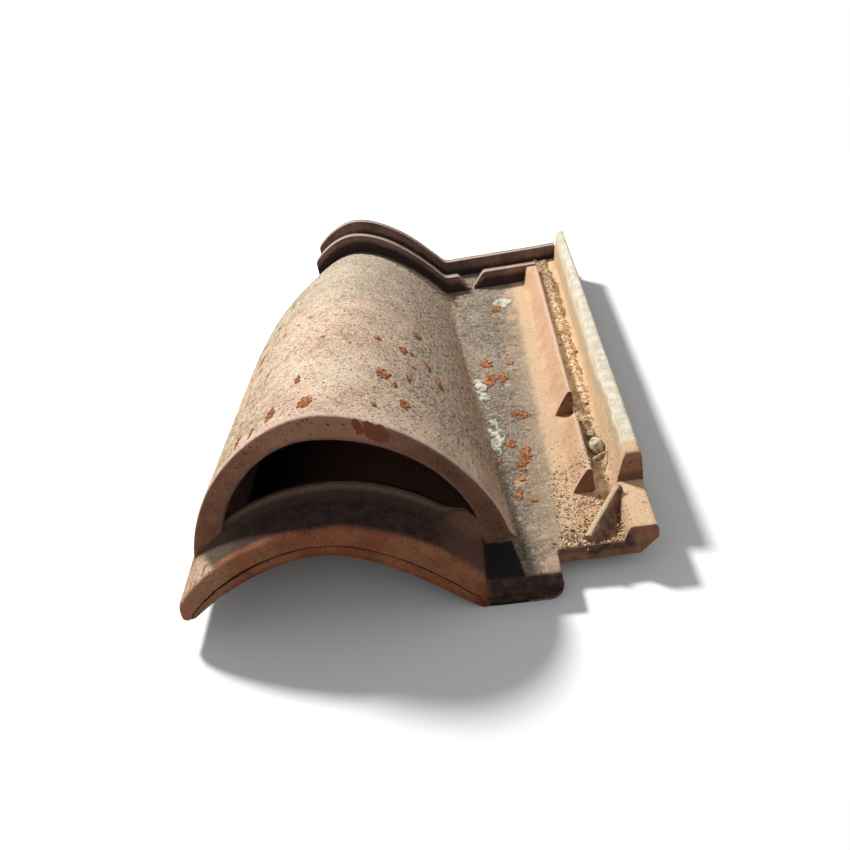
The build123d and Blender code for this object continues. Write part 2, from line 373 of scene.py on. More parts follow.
def roll_outer(rows, count):
    """Roll's outside: the arch, a rounded nose, the sill's raised rim, and at the mouth's right foot a web
    of clay that sweeps up by the power 2.2 of the way there."""
    top = arch(ARCH_TURN, 0.0, CREST_X, ROLL_RIGHT, NOSE_ROUND, 0.0, ROLL_HIGH, 2.0, 0.8, 0.94)
    sunk = np.stack([np.linspace(ROLL_RIGHT, WEB_RIGHT, 8)[1:], np.linspace(0, -2.5, 8)[1:]], -1)
    outer = evenly(np.concatenate([left_wall(0.0, NOSE_ROUND, 6), top, sunk]), count)
    outer = np.repeat(outer[None], len(rows), 0)
    x = outer[..., 0]
    start = mix(19.0, 31.5, smooth(166, 175, x))
    web = np.clip((rows[:, None] - start) / (MOUTH_Y + 0.5 - start), 0, 1) ** 2.2
    high = mix(14.0, 3.5, smooth(MOUTH_Y + 0.5, 43, rows))[:, None]
    outer[..., 1] += high * smooth(WEB_FOOT, WEB_FOOT + 19, x) * web
    outer = softened(outer, np.broadcast_to(1 - smooth(6, 10, np.arange(count)), outer.shape[:2]), 5)
    x = outer[..., 0]
    rim = 2.2 * smooth(35.2, 37.2, rows) * (1 - smooth(40.2, 42.2, rows)) - 0.5 * smooth(42, 44, rows)
    ends = rounding(rows, NOSE_ROUND) + rounding(SILL_BACK - rows, BACK_ROUND)
    lift = rim[:, None] * smooth(1, 12, x) * (1 - smooth(163, 170, x)) - ends[:, None]
    return outer + normals_2d(outer) * lift[..., None]


def roll_block():
    """Roll in front of the hood, from the nose to the sill: across the arch, along Y, and through the
    thickness. The nose is thicker than the roll and has a sunk mould line."""
    rows = np.concatenate([rounded_stops(0, 1, NOSE_ROUND, 8), NOSE_STOPS, [18, 22, 26, 30],
                           np.linspace(MOUTH_Y, 45, 13), rounded_stops(SILL_BACK, -1, BACK_ROUND, 4)])
    count = 124
    outer = roll_outer(rows, count)
    under_nose = arch(ARCH_TURN, -12.0, 86.0, 165.5, -NOSE_LOW, -NOSE_LOW, 31.8, CORNER, 1.06, 1.15)
    under_roll = arch(ARCH_TURN, 3.0, CREST_X, HOLLOW_ROLL_RIGHT, -SHELL, -SHELL, ROLL_HIGH - SHELL, 2.0,
                      0.8, 0.95)
    unders = [evenly(above_pan(line), count) for line in (under_nose, under_roll)]
    inner = mix(unders[0][None], unders[1][None], nose_end(rows)[:, None, None])
    inner = inner + normals_2d(inner) * rounding(rows, 1.2)[:, None, None]
    section = mix(inner[:, :, None], outer[:, :, None], WALL_STEPS[None, None, :, None])
    x, z = section[..., 0], section[..., 1]
    y = np.array(np.broadcast_to(rows[:, None, None], x.shape))
    y[0] += mould_line(x[0], WALL_STEPS) + 0.5 * smooth(166, 172, x[0])
    seam = np.zeros(x.shape)
    seam[0] = seam_line(x[0], WALL_STEPS)
    return np.stack([x, y, z], -1), seam


def nose_end(y):
    """Step from 0 to 1 where the thick nose ends on the underside."""
    return smooth(NOSE_DEPTH - 0.1, NOSE_DEPTH + 0.5, y)


def above_line(x, share):
    """How far a share of the nose's height lies above its mould line, which rises from 0.36 of the height
    to 0.47 under the arch and wavers a little."""
    wave = line_grain(x, 9.0, 61) + 0.6 * line_grain(x, 2.5, 62)
    return share - 0.36 - 0.11 * np.exp(-((x - CREST_X) / 50) ** 2) - 0.012 * wave


def mould_line(x, share):
    """How far the nose's front face stands back: a narrow groove at the mould line, and 1.5 mm below it."""
    above = above_line(x, share)
    return 1.5 * (1 - smooth(-0.03, 0.03, above)) + 2.0 * np.exp(-(above / 0.05) ** 2)


def seam_line(x, share):
    """Mark of the mould line: 1 in its groove, fading over a fourteenth of the height."""
    return np.exp(-(above_line(x, share) / 0.07) ** 2)


def inner_rib(x, y):
    """Height of the wedge-shaped inner rib: the smooth lower of its slope and its rounded crest, in two
    lengths that fall towards the head, the front one cut down behind its end."""
    slope = (x - INNER_RIB_FOOT) / (INNER_RIB_TOP - INNER_RIB_FOOT - 1.6)
    slope = slope * (1 + 1.9 * smooth(346, 368, y))
    crest = 1 - rounding(INNER_RIB_RIGHT - x, 3.0) / 15
    crest = crest * smooth(INNER_RIB_RIGHT + 0.5, INNER_RIB_RIGHT - 0.3, x)
    soft = 0.07
    lean = np.clip(-soft * np.logaddexp(-np.clip(slope, -1, 3) / soft, -crest / soft), 0, 1)
    lean = np.where(x > INNER_RIB_FOOT, lean, 0)
    back = mix(17.0, 12.5, (y - INNER_RIB_BREAK) / (373 - INNER_RIB_BREAK))
    back = back * smooth(INNER_RIB_BREAK - 0.6, INNER_RIB_BREAK + 1.2, y) * (1 - smooth(372, 374, y))
    front = mix(15.5, 13.0, (y - INNER_RIB_END) / 80) * smooth(INNER_RIB_END - 0.6, INNER_RIB_END + 1.2, y)
    front = front * np.clip((INNER_RIB_BREAK - 2.5 - y) / 17.0, 0, 1)
    return lean * np.where(y > INNER_RIB_BREAK - 1.5, back, front)


def outer_rib(x, y):
    """Height of the outer rib: an S-shaped slope that steepens towards the head, square at its front end."""
    edge = mix(OUTER_RIB_X, OUTER_RIB_X + 4, smooth(OUTER_RIB_END, OUTER_RIB_BACK, y))
    wide = mix(6.0, 2.6, smooth(120, 330, y))
    high = OUTER_RIB_HIGH * smooth(edge - wide, edge + 4.2, x)
    high = high * smooth(OUTER_RIB_END - 0.9, OUTER_RIB_END + 0.9, y)
    high = high - smooth(0.5, 1, high) * rounding(y - OUTER_RIB_END - 0.9, 3.5) * (y > OUTER_RIB_END)
    return np.maximum(high, 0)


def lock_profile(x, y):
    """Height of the pan and the lock over the pan's top, as a function of X and Y: the highest of the
    inner rib, the outer rib, the bank at its foot, and the ledge in front of it."""
    behind = 1 - smooth(OUTER_RIB_BACK - 1.5, OUTER_RIB_BACK, y)
    ledge = LEDGE_HIGH * smooth(LEDGE_X - 5.5, LEDGE_X, x) * smooth(LOCK_Y - 1, LOCK_Y - 0.01, y)
    ledge = ledge * (1 - smooth(OUTER_RIB_END, OUTER_RIB_END + 1, y))
    bank = mix(6.5, 2.5, smooth(140, 320, y)) * smooth(242.5, 250.5, x) * smooth(56, 80, y)
    ribs = np.maximum(inner_rib(x, y), outer_rib(x, y) * behind)
    return np.maximum.reduce([np.zeros_like(x), ribs, ledge, bank * behind])


def plate_lines():
    """Distances of the plate's grid lines: close together where the ribs' slopes and ends are."""
    across = np.concatenate([
        np.linspace(190, 208, 8), LOCK_X - np.array([1.4, 0.7, 0.25, 0.0]),
        LOCK_X + np.array([0.6, 1.6, 3.2]),
        np.linspace(216, 223, 5), np.linspace(224, 233, 9), np.linspace(233.6, 238.6, 13),
        np.linspace(240, 243, 3), np.linspace(243.8, 257, 24), np.linspace(258, 261.4, 4),
        rounded_stops(TILE_WIDE, -1, SIDE_ROUND, 4)])
    along = np.concatenate([
        rounded_stops(0, 1, NOSE_ROUND, 8), NOSE_STOPS, [16.5, 18.4],
        rounded_stops(LOCK_Y, 1, LOCK_ROUND, 4),
        np.linspace(21.2, 58, 17), np.linspace(58.8, 61.6, 9), [62.6, 64], np.linspace(65, 67.6, 8),
        np.linspace(69.5, 129, 18), np.linspace(131, 147.5, 12), [148.4], np.linspace(149, 151.6, 8),
        np.linspace(154, 364, 48), np.linspace(366, 370, 3), np.linspace(371, 375, 7),
        np.linspace(377, 396, 6), np.linspace(397.2, 399.2, 6), [401],
        rounded_stops(TILE_LONG, -1, BACK_ROUND, 4)])
    return across, np.unique(np.round(along, 3))


def plate_grid():
    """Pan and lock as two height fields over one grid, whose left columns follow the hollow's edge."""
    across, along = plate_lines()
    hollow_edge = mix(HOLLOW_MOUTH_RIGHT, HOLLOW_HEAD_RIGHT, hood_share(along))
    left = mix(HOLLOW_ROLL_RIGHT, hollow_edge, smooth(45, 49, along))[:, None]
    near = left + (across[0] - left) * np.linspace(0, 1, 13)[None, :-1]
    x = np.concatenate([near, np.broadcast_to(across, (len(along), len(across)))], 1)
    y = np.broadcast_to(along[:, None], x.shape)
    nose = x < LOCK_X + 0.01
    top = lock_profile(x, y) - np.where(nose, rounding(y, NOSE_ROUND), rounding(y - LOCK_Y, LOCK_ROUND))
    top = top - rounding(TILE_LONG - y, BACK_ROUND) - rounding(TILE_WIDE - x, SIDE_ROUND)
    top = top - np.where(nose & (y < LOCK_Y - 0.01), rounding(LOCK_X - x, LIP_ROUND), 0)
    low = mix(-NOSE_LOW, -SHELL, nose_end(y))
    low = low + np.where(y < NOSE_DEPTH + 0.2, rounding(LOCK_X - x, 9.0) * nose, 0)
    low = np.where(nose, low, -LOCK_THICK + 10 * np.clip((x - 254) / 10, 0, 1))
    return x, y, top, low


def rim_edges(index, keep):
    """Pairs of grid corners along the outline of the kept cells: for each of the four directions, the
    edges of cells whose neighbour that way isn't kept."""
    padded = np.pad(keep, 1)
    rows, cols = keep.shape
    edges = []
    for (di, dj), start, end in (((-1, 0), (0, 0), (0, 1)), ((0, 1), (0, 1), (1, 1)),
                                 ((1, 0), (1, 1), (1, 0)), ((0, -1), (1, 0), (0, 0))):
        i, j = np.nonzero(keep & ~padded[1 + di:1 + di + rows, 1 + dj:1 + dj + cols])
        edges.append(np.stack([index[i + start[0], j + start[1]], index[i + end[0], j + end[1]]], -1))
    return np.concatenate(edges)


def plate_shell(shell):
    """Adds the pan and lock: the two height fields joined by walls around the cells that are kept. The
    points are numbered top first, then underside, then the walls' inner rows, one column after another."""
    x, y, top, low = plate_grid()
    size, steps = x.size, len(WALL_STEPS)
    index = np.arange(size).reshape(x.shape)
    middle_x, middle_y = (0.25 * (v[1:, 1:] + v[:-1, 1:] + v[1:, :-1] + v[:-1, :-1]) for v in (x, y))
    keep = (middle_x < LOCK_X) | (middle_y > LOCK_Y)
    up = np.stack([index[:-1, :-1], index[:-1, 1:], index[1:, 1:], index[1:, :-1]], -1)[keep]
    sides = rim_edges(index, keep)
    rim, place = np.unique(sides, return_inverse=True)
    place = place.reshape(sides.shape)
    column = np.empty((len(rim), steps), int)
    column[:, 0], column[:, -1] = rim + size, rim
    column[:, 1:-1] = 2 * size + np.arange(len(rim) * (steps - 2)).reshape(len(rim), -1)
    rim_x, rim_y, rim_top, rim_low = (v.ravel()[rim][:, None] for v in (x, y, top, low))
    wall_z = mix(rim_low, rim_top, WALL_STEPS[None])
    wall_x = np.repeat(rim_x, steps, 1)
    set_back = mould_line(wall_x, WALL_STEPS[None]) + 0.5 * (1 - smooth(166, 172, wall_x))
    wall_y = np.repeat(rim_y, steps, 1) + (rim_y < 0.01) * set_back
    walls = np.stack([wall_x, wall_y, wall_z], -1)
    seam = np.zeros(2 * size + len(rim) * (steps - 2))
    seam[2 * size:] = ((rim_y < 6) * seam_line(wall_x, WALL_STEPS[None]))[:, 1:-1].ravel()
    fields = [np.stack([x, y, z], -1).reshape(-1, 3) for z in (top, low)]
    points = np.concatenate([*fields, walls[:, 1:-1].reshape(-1, 3)])
    points[rim, 1], points[rim + size, 1] = walls[:, -1, 1], walls[:, 0, 1]
    a, b = column[place[:, 0]], column[place[:, 1]]
    wall_faces = np.stack([a[:, :-1], b[:, :-1], b[:, 1:], a[:, 1:]], -1).reshape(-1, 4)
    shell.add(points, np.concatenate([up, up[:, ::-1] + size, wall_faces]), seam=seam)


def rib_block(stops, high, y_from):
    """Weather rib as a block: along the head's arch and the pan, up, and through its thickness. Its foot
    is sunk 3 mm; it thins by a tenth towards its rounded top."""
    head = arch(np.linspace(-1, 1, 200), HEAD_X, CREST_X, HEAD_RIGHT, HEAD_FOOT, 0.0, HEAD_HIGH, CORNER,
                0.88, 1.02)
    line = read_along(np.concatenate([head, [[TILE_WIDE, 0.0]]]), stops)
    number = np.arange(len(stops))
    inner = (number > 2) & (number < len(stops) - 3)
    line = softened(line[None], inner[None], 3)[0]
    up = np.array([0, 0.3, 0.6, 0.8, 0.9, 0.955, 0.985, 1.0])
    side = np.array([-1, -0.5, 0, 0.5, 1.0])
    whole = high[:, None] + RIB_SUNK
    half = RIB_THICK / 2 * mix(1.0, 0.9, up)[None] - rounding((1 - up[None]) * whole, 1.5)
    y = y_from + RIB_THICK / 2 + half[:, :, None] * side
    x = line[:, 0][:, None, None]
    z = (line[:, 1][:, None] - RIB_SUNK + up[None] * whole)[:, :, None]
    # edge marks the painted highlight on the front top edge; foot runs from 0 at the top to 1 at the foot
    # and carries the painted shadow
    edge = (side < -0.4) & (up[:, None] > 0.97)
    return np.stack(np.broadcast_arrays(x, y, z), -1), {"rib": 1.0, "foot": 1 - up[:, None], "edge": edge}


def deflector_block():
    """Slanting rib at the lock's front: along its run, up, and through. It rises towards the outer rib. Its
    top is 4.5 mm wide; the side that looks at the nose leans out, widest near the low end."""
    length, angle = 37.0, math.radians(55)
    start_x, start_y, foot_z = 229.4, 20.7, -2.0
    run = np.linspace(0, length, 30)
    up = np.array([0, 0.25, 0.5, 0.7, 0.85, 0.94, 1.0])
    side = np.linspace(-1, 1, 7)
    high = 5 + 8.6 * (run / length) ** 0.8
    foot = np.minimum(1.3 + 1.25 * run, 13.0 * (1 - run / 41) + 0.6)
    near_side = -foot[:, None] * (1 - up) ** 1.15 - 0.3 - 0.4 * (1 - up)
    far_side = 4.4 + 2.6 * (1 - up) ** 0.7
    soft = rounding((1 - up) * 10, 1.4) * 0.7
    across = mix((near_side + soft)[..., None], (far_side - soft)[..., None], (side + 1) / 2)
    x = start_x + run[:, None, None] * math.cos(angle) - across * math.sin(angle)
    y = start_y + run[:, None, None] * math.sin(angle) + across * math.cos(angle)
    z = foot_z + up[None, :, None] * (high[:, None, None] - foot_z) - 0.5 * side ** 2 * up[None, :, None]
    return np.stack([x, np.maximum(y, LOCK_Y + 0.3), z], -1)


def nib_block(x):
    """Nib under the head: a block whose edges are drawn in near the bottom."""
    a, b, c = np.meshgrid(np.linspace(-1, 1, 9), np.linspace(-1, 1, 7), [0, 0.06, 0.2, 0.6, 1.0],
                          indexing="ij")
    shrink = 1 - 0.08 * (1 - c) - 0.06 * (c < 0.03)
    return np.stack([x + NIB_LONG / 2 * (1 + a * shrink), NIB_Y + NIB_DEEP / 2 * b * shrink,
                     -NOSE_LOW + c * (NOSE_LOW - LOCK_THICK + 1)], -1)


def clay_relief(points):
    """Unevenness of the fired surface in millimetres: soft waves, and finer lumps in two sizes."""
    waves = 0.28 * grain(points, 46, 3) + 0.16 * grain(points, 15, 9)
    lumps = 0.09 * (grain(points, 5.5, 21) + grain(points, 2.75, 38) / 2)
    return waves + lumps - 0.25


# places of coloured blotches on the clay: x, y, z, width across and length along, in millimetres
PINK_SPOTS = (
    (203.4, 248.7, 0, 7.6, 12.7), (197.8, 198.5, 0, 7, 7), (210, 349.3, 0, 12, 16), (208.6, 302.5, 0, 7, 18),
    (213.9, 326.4, 0, 8, 12), (183.4, 171.7, 0, 7, 6.5), (199.2, 41.6, 0, 4.6, 5.4),
    (204.8, 32.6, 0, 5.6, 8.7), (195.9, 85.9, 0, 9.7, 10), (206, 12, 0, 9, 14),
    (140.4, 132.3, 61.4, 4, 7), (148.5, 58.1, 66.9, 6, 13))
DARK_SPOTS = (
    (60.7, 334.2, 50, 3, 12), (61.3, 299.9, 55, 3, 9), (47.2, 270.4, 52, 3, 10), (70.9, 206.6, 70, 3, 8),
    (62.2, 202.2, 68, 3, 7), (52.2, 199.7, 64, 3, 9), (87.3, 152.5, 84, 3, 7), (105.3, 140.3, 84, 3, 6),
    (51.5, 132.5, 74, 3, 9), (40, 236, 50, 3, 12), (30, 168, 52, 3, 10), (96, 252, 72, 3, 7))
RED_SPOTS = ((123, 33, 84, 10, 12), (128, 33, 80, 10, 12), (117, 33, 86.5, 6, 6))
SPOT_DEEP = 14.0


def blotches(points, places, deep=SPOT_DEEP):
    """For each point the strongest of a list of soft spots: exp(-(d/size)^2) around each place."""
    value = np.zeros(len(points))
    for x, y, z, wide, long in places:
        apart = ((points[:, 0] - x) / wide) ** 2 + ((points[:, 1] - y) / long) ** 2
        apart = apart * 4 + ((points[:, 2] - z) / deep) ** 2
        value = np.maximum(value, np.exp(-apart))
    return value


def clay_marks(points):
    """The three kinds of blotch as numbers for each vertex."""
    return {"pink": blotches(points, PINK_SPOTS), "dark": blotches(points, DARK_SPOTS),
            "red": blotches(points, RED_SPOTS, SPOT_DEEP / 2)}


def clay_body():
    """The whole fired tile as one mesh: hood, roll, plate, weather ribs, deflector and nibs."""
    shell = Shell(marks=("ring", "inside", "rib", "foot", "edge", "roll", "seam"))
    block, ring, inside = hood_block(*hood_surface())
    shell.block(block, ring=ring, inside=inside)
    roll, seam = roll_block()
    shell.block(roll, roll=1.0, seam=seam)
    plate_shell(shell)
    share = np.linspace(0, 1, 108)
    whole, first, second = share * 226.3, share * 149.5, 153 + share[:50] / share[49] * 53
    for stops, high, y in ((whole, np.full(whole.shape, RIB_HIGH), BACK_RIB_Y),
                           (first, RIB_HIGH - 12.8 * smooth(140, 149.2, first), FRONT_RIB_Y),
                           (second, mix(2.5, RIB_HIGH, smooth(151, 164, second)), FRONT_RIB_Y)):
        rib, marks = rib_block(stops, high, y)
        shell.block(rib, **marks)
    for block in (deflector_block(), *map(nib_block, NIB_PLACES)):
        shell.block(block)
    return shell.mesh("roof_tile_clay", clay_relief, clay_marks)


# lichen and dirt

# growths as x, y, z, width across and length along; on the pan, without z
ORANGE_ON_HOOD = (
    (127.3, 102.9, 76.3, 9.9, 14.9), (133, 92.6, 74, 5.2, 9.7), (134.7, 155.4, 62.5, 7.7, 12),
    (141.9, 197.5, 48.6, 6.9, 12), (148.6, 151.8, 49.7, 4.5, 14), (155.3, 135, 45, 5.7, 14),
    (138.9, 71.8, 72.9, 7.7, 12), (124.5, 56.6, 84.9, 4.3, 5.4), (88.8, 52.3, 94.4, 8, 16),
    (67.6, 55.1, 90.5, 6.5, 18), (46.8, 51.3, 78.4, 4.4, 18), (120.3, 158.3, 72.2, 5, 8),
    (140, 112.5, 65.1, 3.6, 9), (139.6, 157.1, 57.8, 3.9, 6.7), (34.9, 189.7, 53.7, 4.2, 14),
    (56.3, 44.9, 86.2, 3.2, 12), (80, 88.5, 88.9, 4.6, 12), (141.4, 134.3, 60.1, 3.1, 6))
ORANGE_ON_PAN = (
    (163.2, 339.5, 10, 10), (197, 319.5, 10, 9.5), (184.5, 234.6, 10.5, 12), (187.3, 210.1, 13, 16),
    (195.8, 209, 7, 14), (201.8, 229.2, 6.7, 6), (205.1, 156.9, 8, 10), (199.5, 160.9, 9.5, 10),
    (193.3, 126.5, 7, 10), (201.7, 114.3, 7.6, 15.5), (198.8, 104, 8.7, 8.6), (183.8, 109.8, 7, 12),
    (197.2, 86.6, 5, 4), (194, 71.4, 5.4, 11.7), (202.1, 64.8, 5.3, 5.7), (198.7, 95.6, 5.6, 4),
    (187.7, 96.1, 6, 6))
PALE_ON_PAN = ((179.3, 195.6, 17.8, 38.8), (182.3, 135, 15.7, 37.5), (204.3, 330, 16.8, 23.4))
WORN_FROM_Y = 300


def hood_place(rows, outer, spot, across, along):
    """Points and normals of the hood's outside at lengths across and along from the place nearest to
    spot: the table of sections read between its rows and columns."""
    count = outer.shape[1]
    nearest = np.argmin(np.abs(rows - spot[1]))
    column = np.argmin(np.hypot(outer[nearest, :, 0] - spot[0], outer[nearest, :, 1] - spot[2]))
    step = np.hypot(*np.diff(outer[nearest], axis=0).T).mean()
    y = spot[1] + along
    r = np.clip(np.interp(y, rows, np.arange(len(rows))), 0, len(rows) - 1.001)
    c = np.clip(column + across / step, 0, count - 1.001)
    r0, c0 = r.astype(int), c.astype(int)
    fr, fc = (r - r0)[..., None], (c - c0)[..., None]

    def read(table):
        low, high = (mix(table[row, c0], table[row, c0 + 1], fc) for row in (r0, r0 + 1))
        return mix(low, high, fr)

    flat, lean = read(outer), read(normals_2d(outer))
    lean = lean / np.hypot(lean[..., 0], lean[..., 1])[..., None]
    return (np.stack([flat[..., 0], y, flat[..., 1]], -1),
            np.stack([lean[..., 0], np.zeros_like(y), lean[..., 1]], -1))


def pan_place(spot, across, along):
    """Points of the pan and lock at lengths across and along from spot, with normals straight up."""
    x, y = spot[0] + across, spot[1] + along
    return np.stack([x, y, lock_profile(x, y)], -1), np.broadcast_to([0.0, 0.0, 1.0], (*x.shape, 3))


def patch(shell, place, wide, long, seed, lift, lump, size, spacing, ragged, folded=False):
    """A growth on the clay: a square grid drawn out to a lobed disc, lifted by lift (0.9 - 0.8 d^3) with
    lumps of the given size, or folds where folded, and closed below the surface."""
    count = [max(10, int(v / spacing)) for v in (wide, long)]
    u, v = np.meshgrid(np.linspace(-1, 1, count[0]), np.linspace(-1, 1, count[1]), indexing="ij")
    a, b = u * np.sqrt(1 - v * v / 2), v * np.sqrt(1 - u * u / 2)
    turn, far = np.arctan2(b, a), np.hypot(a, b)
    ring = np.stack([np.cos(turn) * 1.4, np.sin(turn) * 1.4, np.full(turn.shape, seed * 3.7)], -1)
    bays = grain(ring, 1.0, seed) + 0.22 * grain(ring, 0.4, seed + 2)
    lobes = 1.0 + ragged * bays * smooth(0.1, 0.8, far)
    base, normal = place(a * lobes * wide / 2, b * lobes * long / 2)
    grit = grain(base, size, seed + 5)
    if folded:
        grit = 1 - 2.6 * np.abs(grit) + 0.4 * grain(base, size / 2.5, seed + 6)
    else:
        grit = grit + 0.6 * grain(base, size / 2, seed + 6)
    high = lift * (0.9 - 0.8 * far ** 3) + lump * grit - 0.25 * lift
    high = np.where(far > 0.97, -0.5, high)
    ground = clay_relief(base)
    top = base + normal * (ground + high)[..., None]
    low = base + normal * (ground - 0.9)[..., None]
    tone = np.clip(high / lift, 0, 1)
    shell.block(np.stack([low, top], 2), thick=np.stack([tone * 0, tone], 2))


def orange_lichen(lift):
    """The orange growths, thicker and rougher on the pan than on the hood."""
    shell = Shell(marks=("thick",))
    rows, outer = hood_surface()
    for k, (x, y, z, wide, long) in enumerate(ORANGE_ON_HOOD):
        patch(shell, lambda a, b: hood_place(rows, outer, (x, y, z), a, b), wide, long, 40 + k,
              lift, 0.5, 1.3, 0.35, 0.42)
    for k, (x, y, wide, long) in enumerate(ORANGE_ON_PAN):
        patch(shell, lambda a, b: pan_place((x, y), a, b), wide, long, 80 + k,
              lift * 1.4, 0.7, 1.6, 0.4, 0.5)
    return shell.mesh("orange_lichen", crease=80)


def pale_lichen(lift):
    """The pale growths: two folded and ragged ones, and a thin worn one near the head."""
    shell = Shell(marks=("thick",))
    for k, (x, y, wide, long) in enumerate(PALE_ON_PAN):
        worn = y > WORN_FROM_Y
        low, ragged = (0.3, 0.16) if worn else (1.0, 0.6)
        patch(shell, lambda a, b: pan_place((x, y), a, b), wide, long, 120 + k, lift * low, 0.85 * low, 4.2,
              0.5, ragged, not worn)
    return shell.mesh("pale_lichen", crease=80)


def bed_height(x, y):
    """Depth of the dirt in the lock: 2 mm at the front and 6 mm from the middle on, less towards the outer
    rib and the head, with lumps of 8, 3 and 1.5 mm, running out to nothing at the front."""
    spot = np.stack([x, y, np.zeros_like(x)], -1)
    lumps = 1.3 * grain(spot, 8.0, 5) + 0.7 * grain(spot, 3.0, 6) + 0.5 * grain(spot, 1.5, 7)
    middle = smooth(125, 175, y)
    bank = 4.6 * middle - 4.8 * smooth(244.5, 251.6, x) * smooth(150, 210, y)
    bank = bank + mix(-0.8, 0.8, middle) * (1 - smooth(238.0, 242, x)) - 3.4 * smooth(340, 380, y)
    fade = smooth(58, 74, y)
    return np.maximum((1.9 + lumps + bank) * fade - 1.2 * (1 - fade), -0.9)


def dirt_bed():
    """The dirt between the two ribs as a closed bed that reaches below the trough's floor."""
    x, y = np.meshgrid(np.linspace(BED_LEFT, BED_RIGHT, 29), np.linspace(60, 397, 480), indexing="ij")
    top, low = (np.stack([x, y, z], -1) for z in (bed_height(x, y), np.full(x.shape, -1.8)))
    shell = Shell(marks=("thick",))
    shell.block(np.stack([low, top], 2), thick=1.0)
    return shell.mesh("lock_dirt", crease=80)


def crumb_shape():
    """Twelve corners and twenty faces of an icosahedron: (0, 1, g), (1, g, 0), (g, 0, 1) and their
    mirror images, with g the golden ratio."""
    g = (1 + 5 ** 0.5) / 2
    corners = np.array([(-1, g, 0), (1, g, 0), (-1, -g, 0), (1, -g, 0), (0, -1, g), (0, 1, g), (0, -1, -g),
                        (0, 1, -g), (g, 0, -1), (g, 0, 1), (-g, 0, -1), (-g, 0, 1)], float)
    faces = np.array([(0, 11, 5), (0, 5, 1), (0, 1, 7), (0, 7, 10), (0, 10, 11), (1, 5, 9), (5, 11, 4),
                      (11, 10, 2), (10, 7, 6), (7, 1, 8), (3, 9, 4), (3, 4, 2), (3, 2, 6), (3, 6, 8),
                      (3, 8, 9), (4, 9, 5), (2, 4, 11), (6, 2, 10), (8, 6, 7), (9, 8, 1)])
    return corners / np.hypot(1, g), faces


def crumbs(centres, sizes, seed):
    """Crumbs: icosahedra whose corners are moved in or out by up to a third, each turned at random by a
    unit quaternion and flattened a little."""
    chance = np.random.default_rng(seed)
    corners, faces = crumb_shape()
    count = len(centres)
    quarter = chance.normal(size=(count, 4))
    w, x, y, z = (quarter / np.linalg.norm(quarter, axis=1)[:, None]).T
    turn = np.array([[1 - 2 * (y * y + z * z), 2 * (x * y - w * z), 2 * (x * z + w * y)],
                     [2 * (x * y + w * z), 1 - 2 * (x * x + z * z), 2 * (y * z - w * x)],
                     [2 * (x * z - w * y), 2 * (y * z + w * x), 1 - 2 * (x * x + y * y)]]).transpose(2, 0, 1)
    radius = 1 + 0.33 * chance.uniform(-1, 1, (count, len(corners)))
    local = corners[None] * radius[..., None] * chance.uniform(0.6, 1.25, (count, 1, 3))
    points = np.einsum("nij,nkj->nki", turn, local) * sizes[:, None, None] + centres[:, None]
    numbers = faces[None] + (np.arange(count) * len(corners))[:, None, None]
    tone = np.repeat(chance.uniform(0, 1, count), len(corners))
    return points.reshape(-1, 3), numbers.reshape(-1, 3), tone


def scattered_crumbs(count):
    """Crumbs over the dirt bed and, more thinly, over the lock's front floor, the ledge and the pan's edge;
    those that would hang at the inner rib's front end lie in front of it."""
    chance = np.random.default_rng(11)
    bed = int(count * 0.5)
    x = np.concatenate([chance.uniform(237, 250, bed), chance.uniform(212, 247, count - bed)])
    y = np.concatenate([chance.uniform(64, 396, bed), 20.5 + 70 * chance.uniform(0, 1, count - bed) ** 1.7])
    size = chance.uniform(0.3, 1.0, count) ** 3.2 + 0.14
    hanging = (x > 223) & (x < 239.5) & (y > INNER_RIB_END - 5) & (y < INNER_RIB_END + 5)
    y = np.where(hanging, y - 9, y)
    ground = np.concatenate([bed_height(x[:bed], y[:bed]), lock_profile(x[bed:], y[bed:])])
    size[bed:] *= 0.66
    return crumbs(np.stack([x, y, ground + size * 0.15], -1), size, 12)


def moss_crumbs():
    """Small dry tufts: on the lock's front edge, behind the deflector, and on the front floor. Each group
    gives its number, its X as mean and spread, and its ranges of Y and Z."""
    chance = np.random.default_rng(31)
    groups = ((46, (224.4, 2.2), (19.2, 23.5), (-2.5, 1.2)), (40, (247, 1.6), (22, 40), (0.2, 1.5)),
              (120, (220.5, 4.5), (20.5, 33), (0.0, 0.5)))
    centres = np.concatenate([
        np.stack([chance.normal(*x, count), chance.uniform(*y, count), chance.uniform(*z, count)], -1)
        for count, x, y, z in groups])
    return crumbs(centres, chance.uniform(0.4, 1.1, len(centres)), 32)


def closed_rings(rings, first, last):
    """Triangles over a row of rings of points, with each end closed by a fan around its own point."""
    rows, cols = rings.shape[:2]
    index = np.arange(rows * cols).reshape(rows, cols)
    index = np.concatenate([index, index[:, :1]], 1)
    quads = grid_faces(index)
    fans = [np.stack([ring[:-1], ring[1:], np.full(cols, rows * cols + end)], -1)
            for end, ring in enumerate((index[0], index[-1, ::-1]))]
    points = np.concatenate([rings.reshape(-1, 3), [first, last]])
    return points, np.concatenate([quads[:, [0, 1, 2]], quads[:, [0, 2, 3]], *fans])


def pebble(centre, half, seed):
    """A rounded pebble: an ellipsoid over a grid of rises and turns, moved by value noise."""
    rise, turn = np.meshgrid(np.linspace(0.04, math.pi - 0.04, 18), np.linspace(0, 2 * math.pi, 29)[:-1],
                             indexing="ij")
    unit = np.stack([np.sin(rise) * np.cos(turn), np.sin(rise) * np.sin(turn), np.cos(rise)], -1)
    rings = np.array(centre) + unit * np.array(half) * (1 + 0.10 * grain(unit * 2.2, 1.0, seed)[..., None])
    return closed_rings(rings, rings[0].mean(0), rings[-1].mean(0))


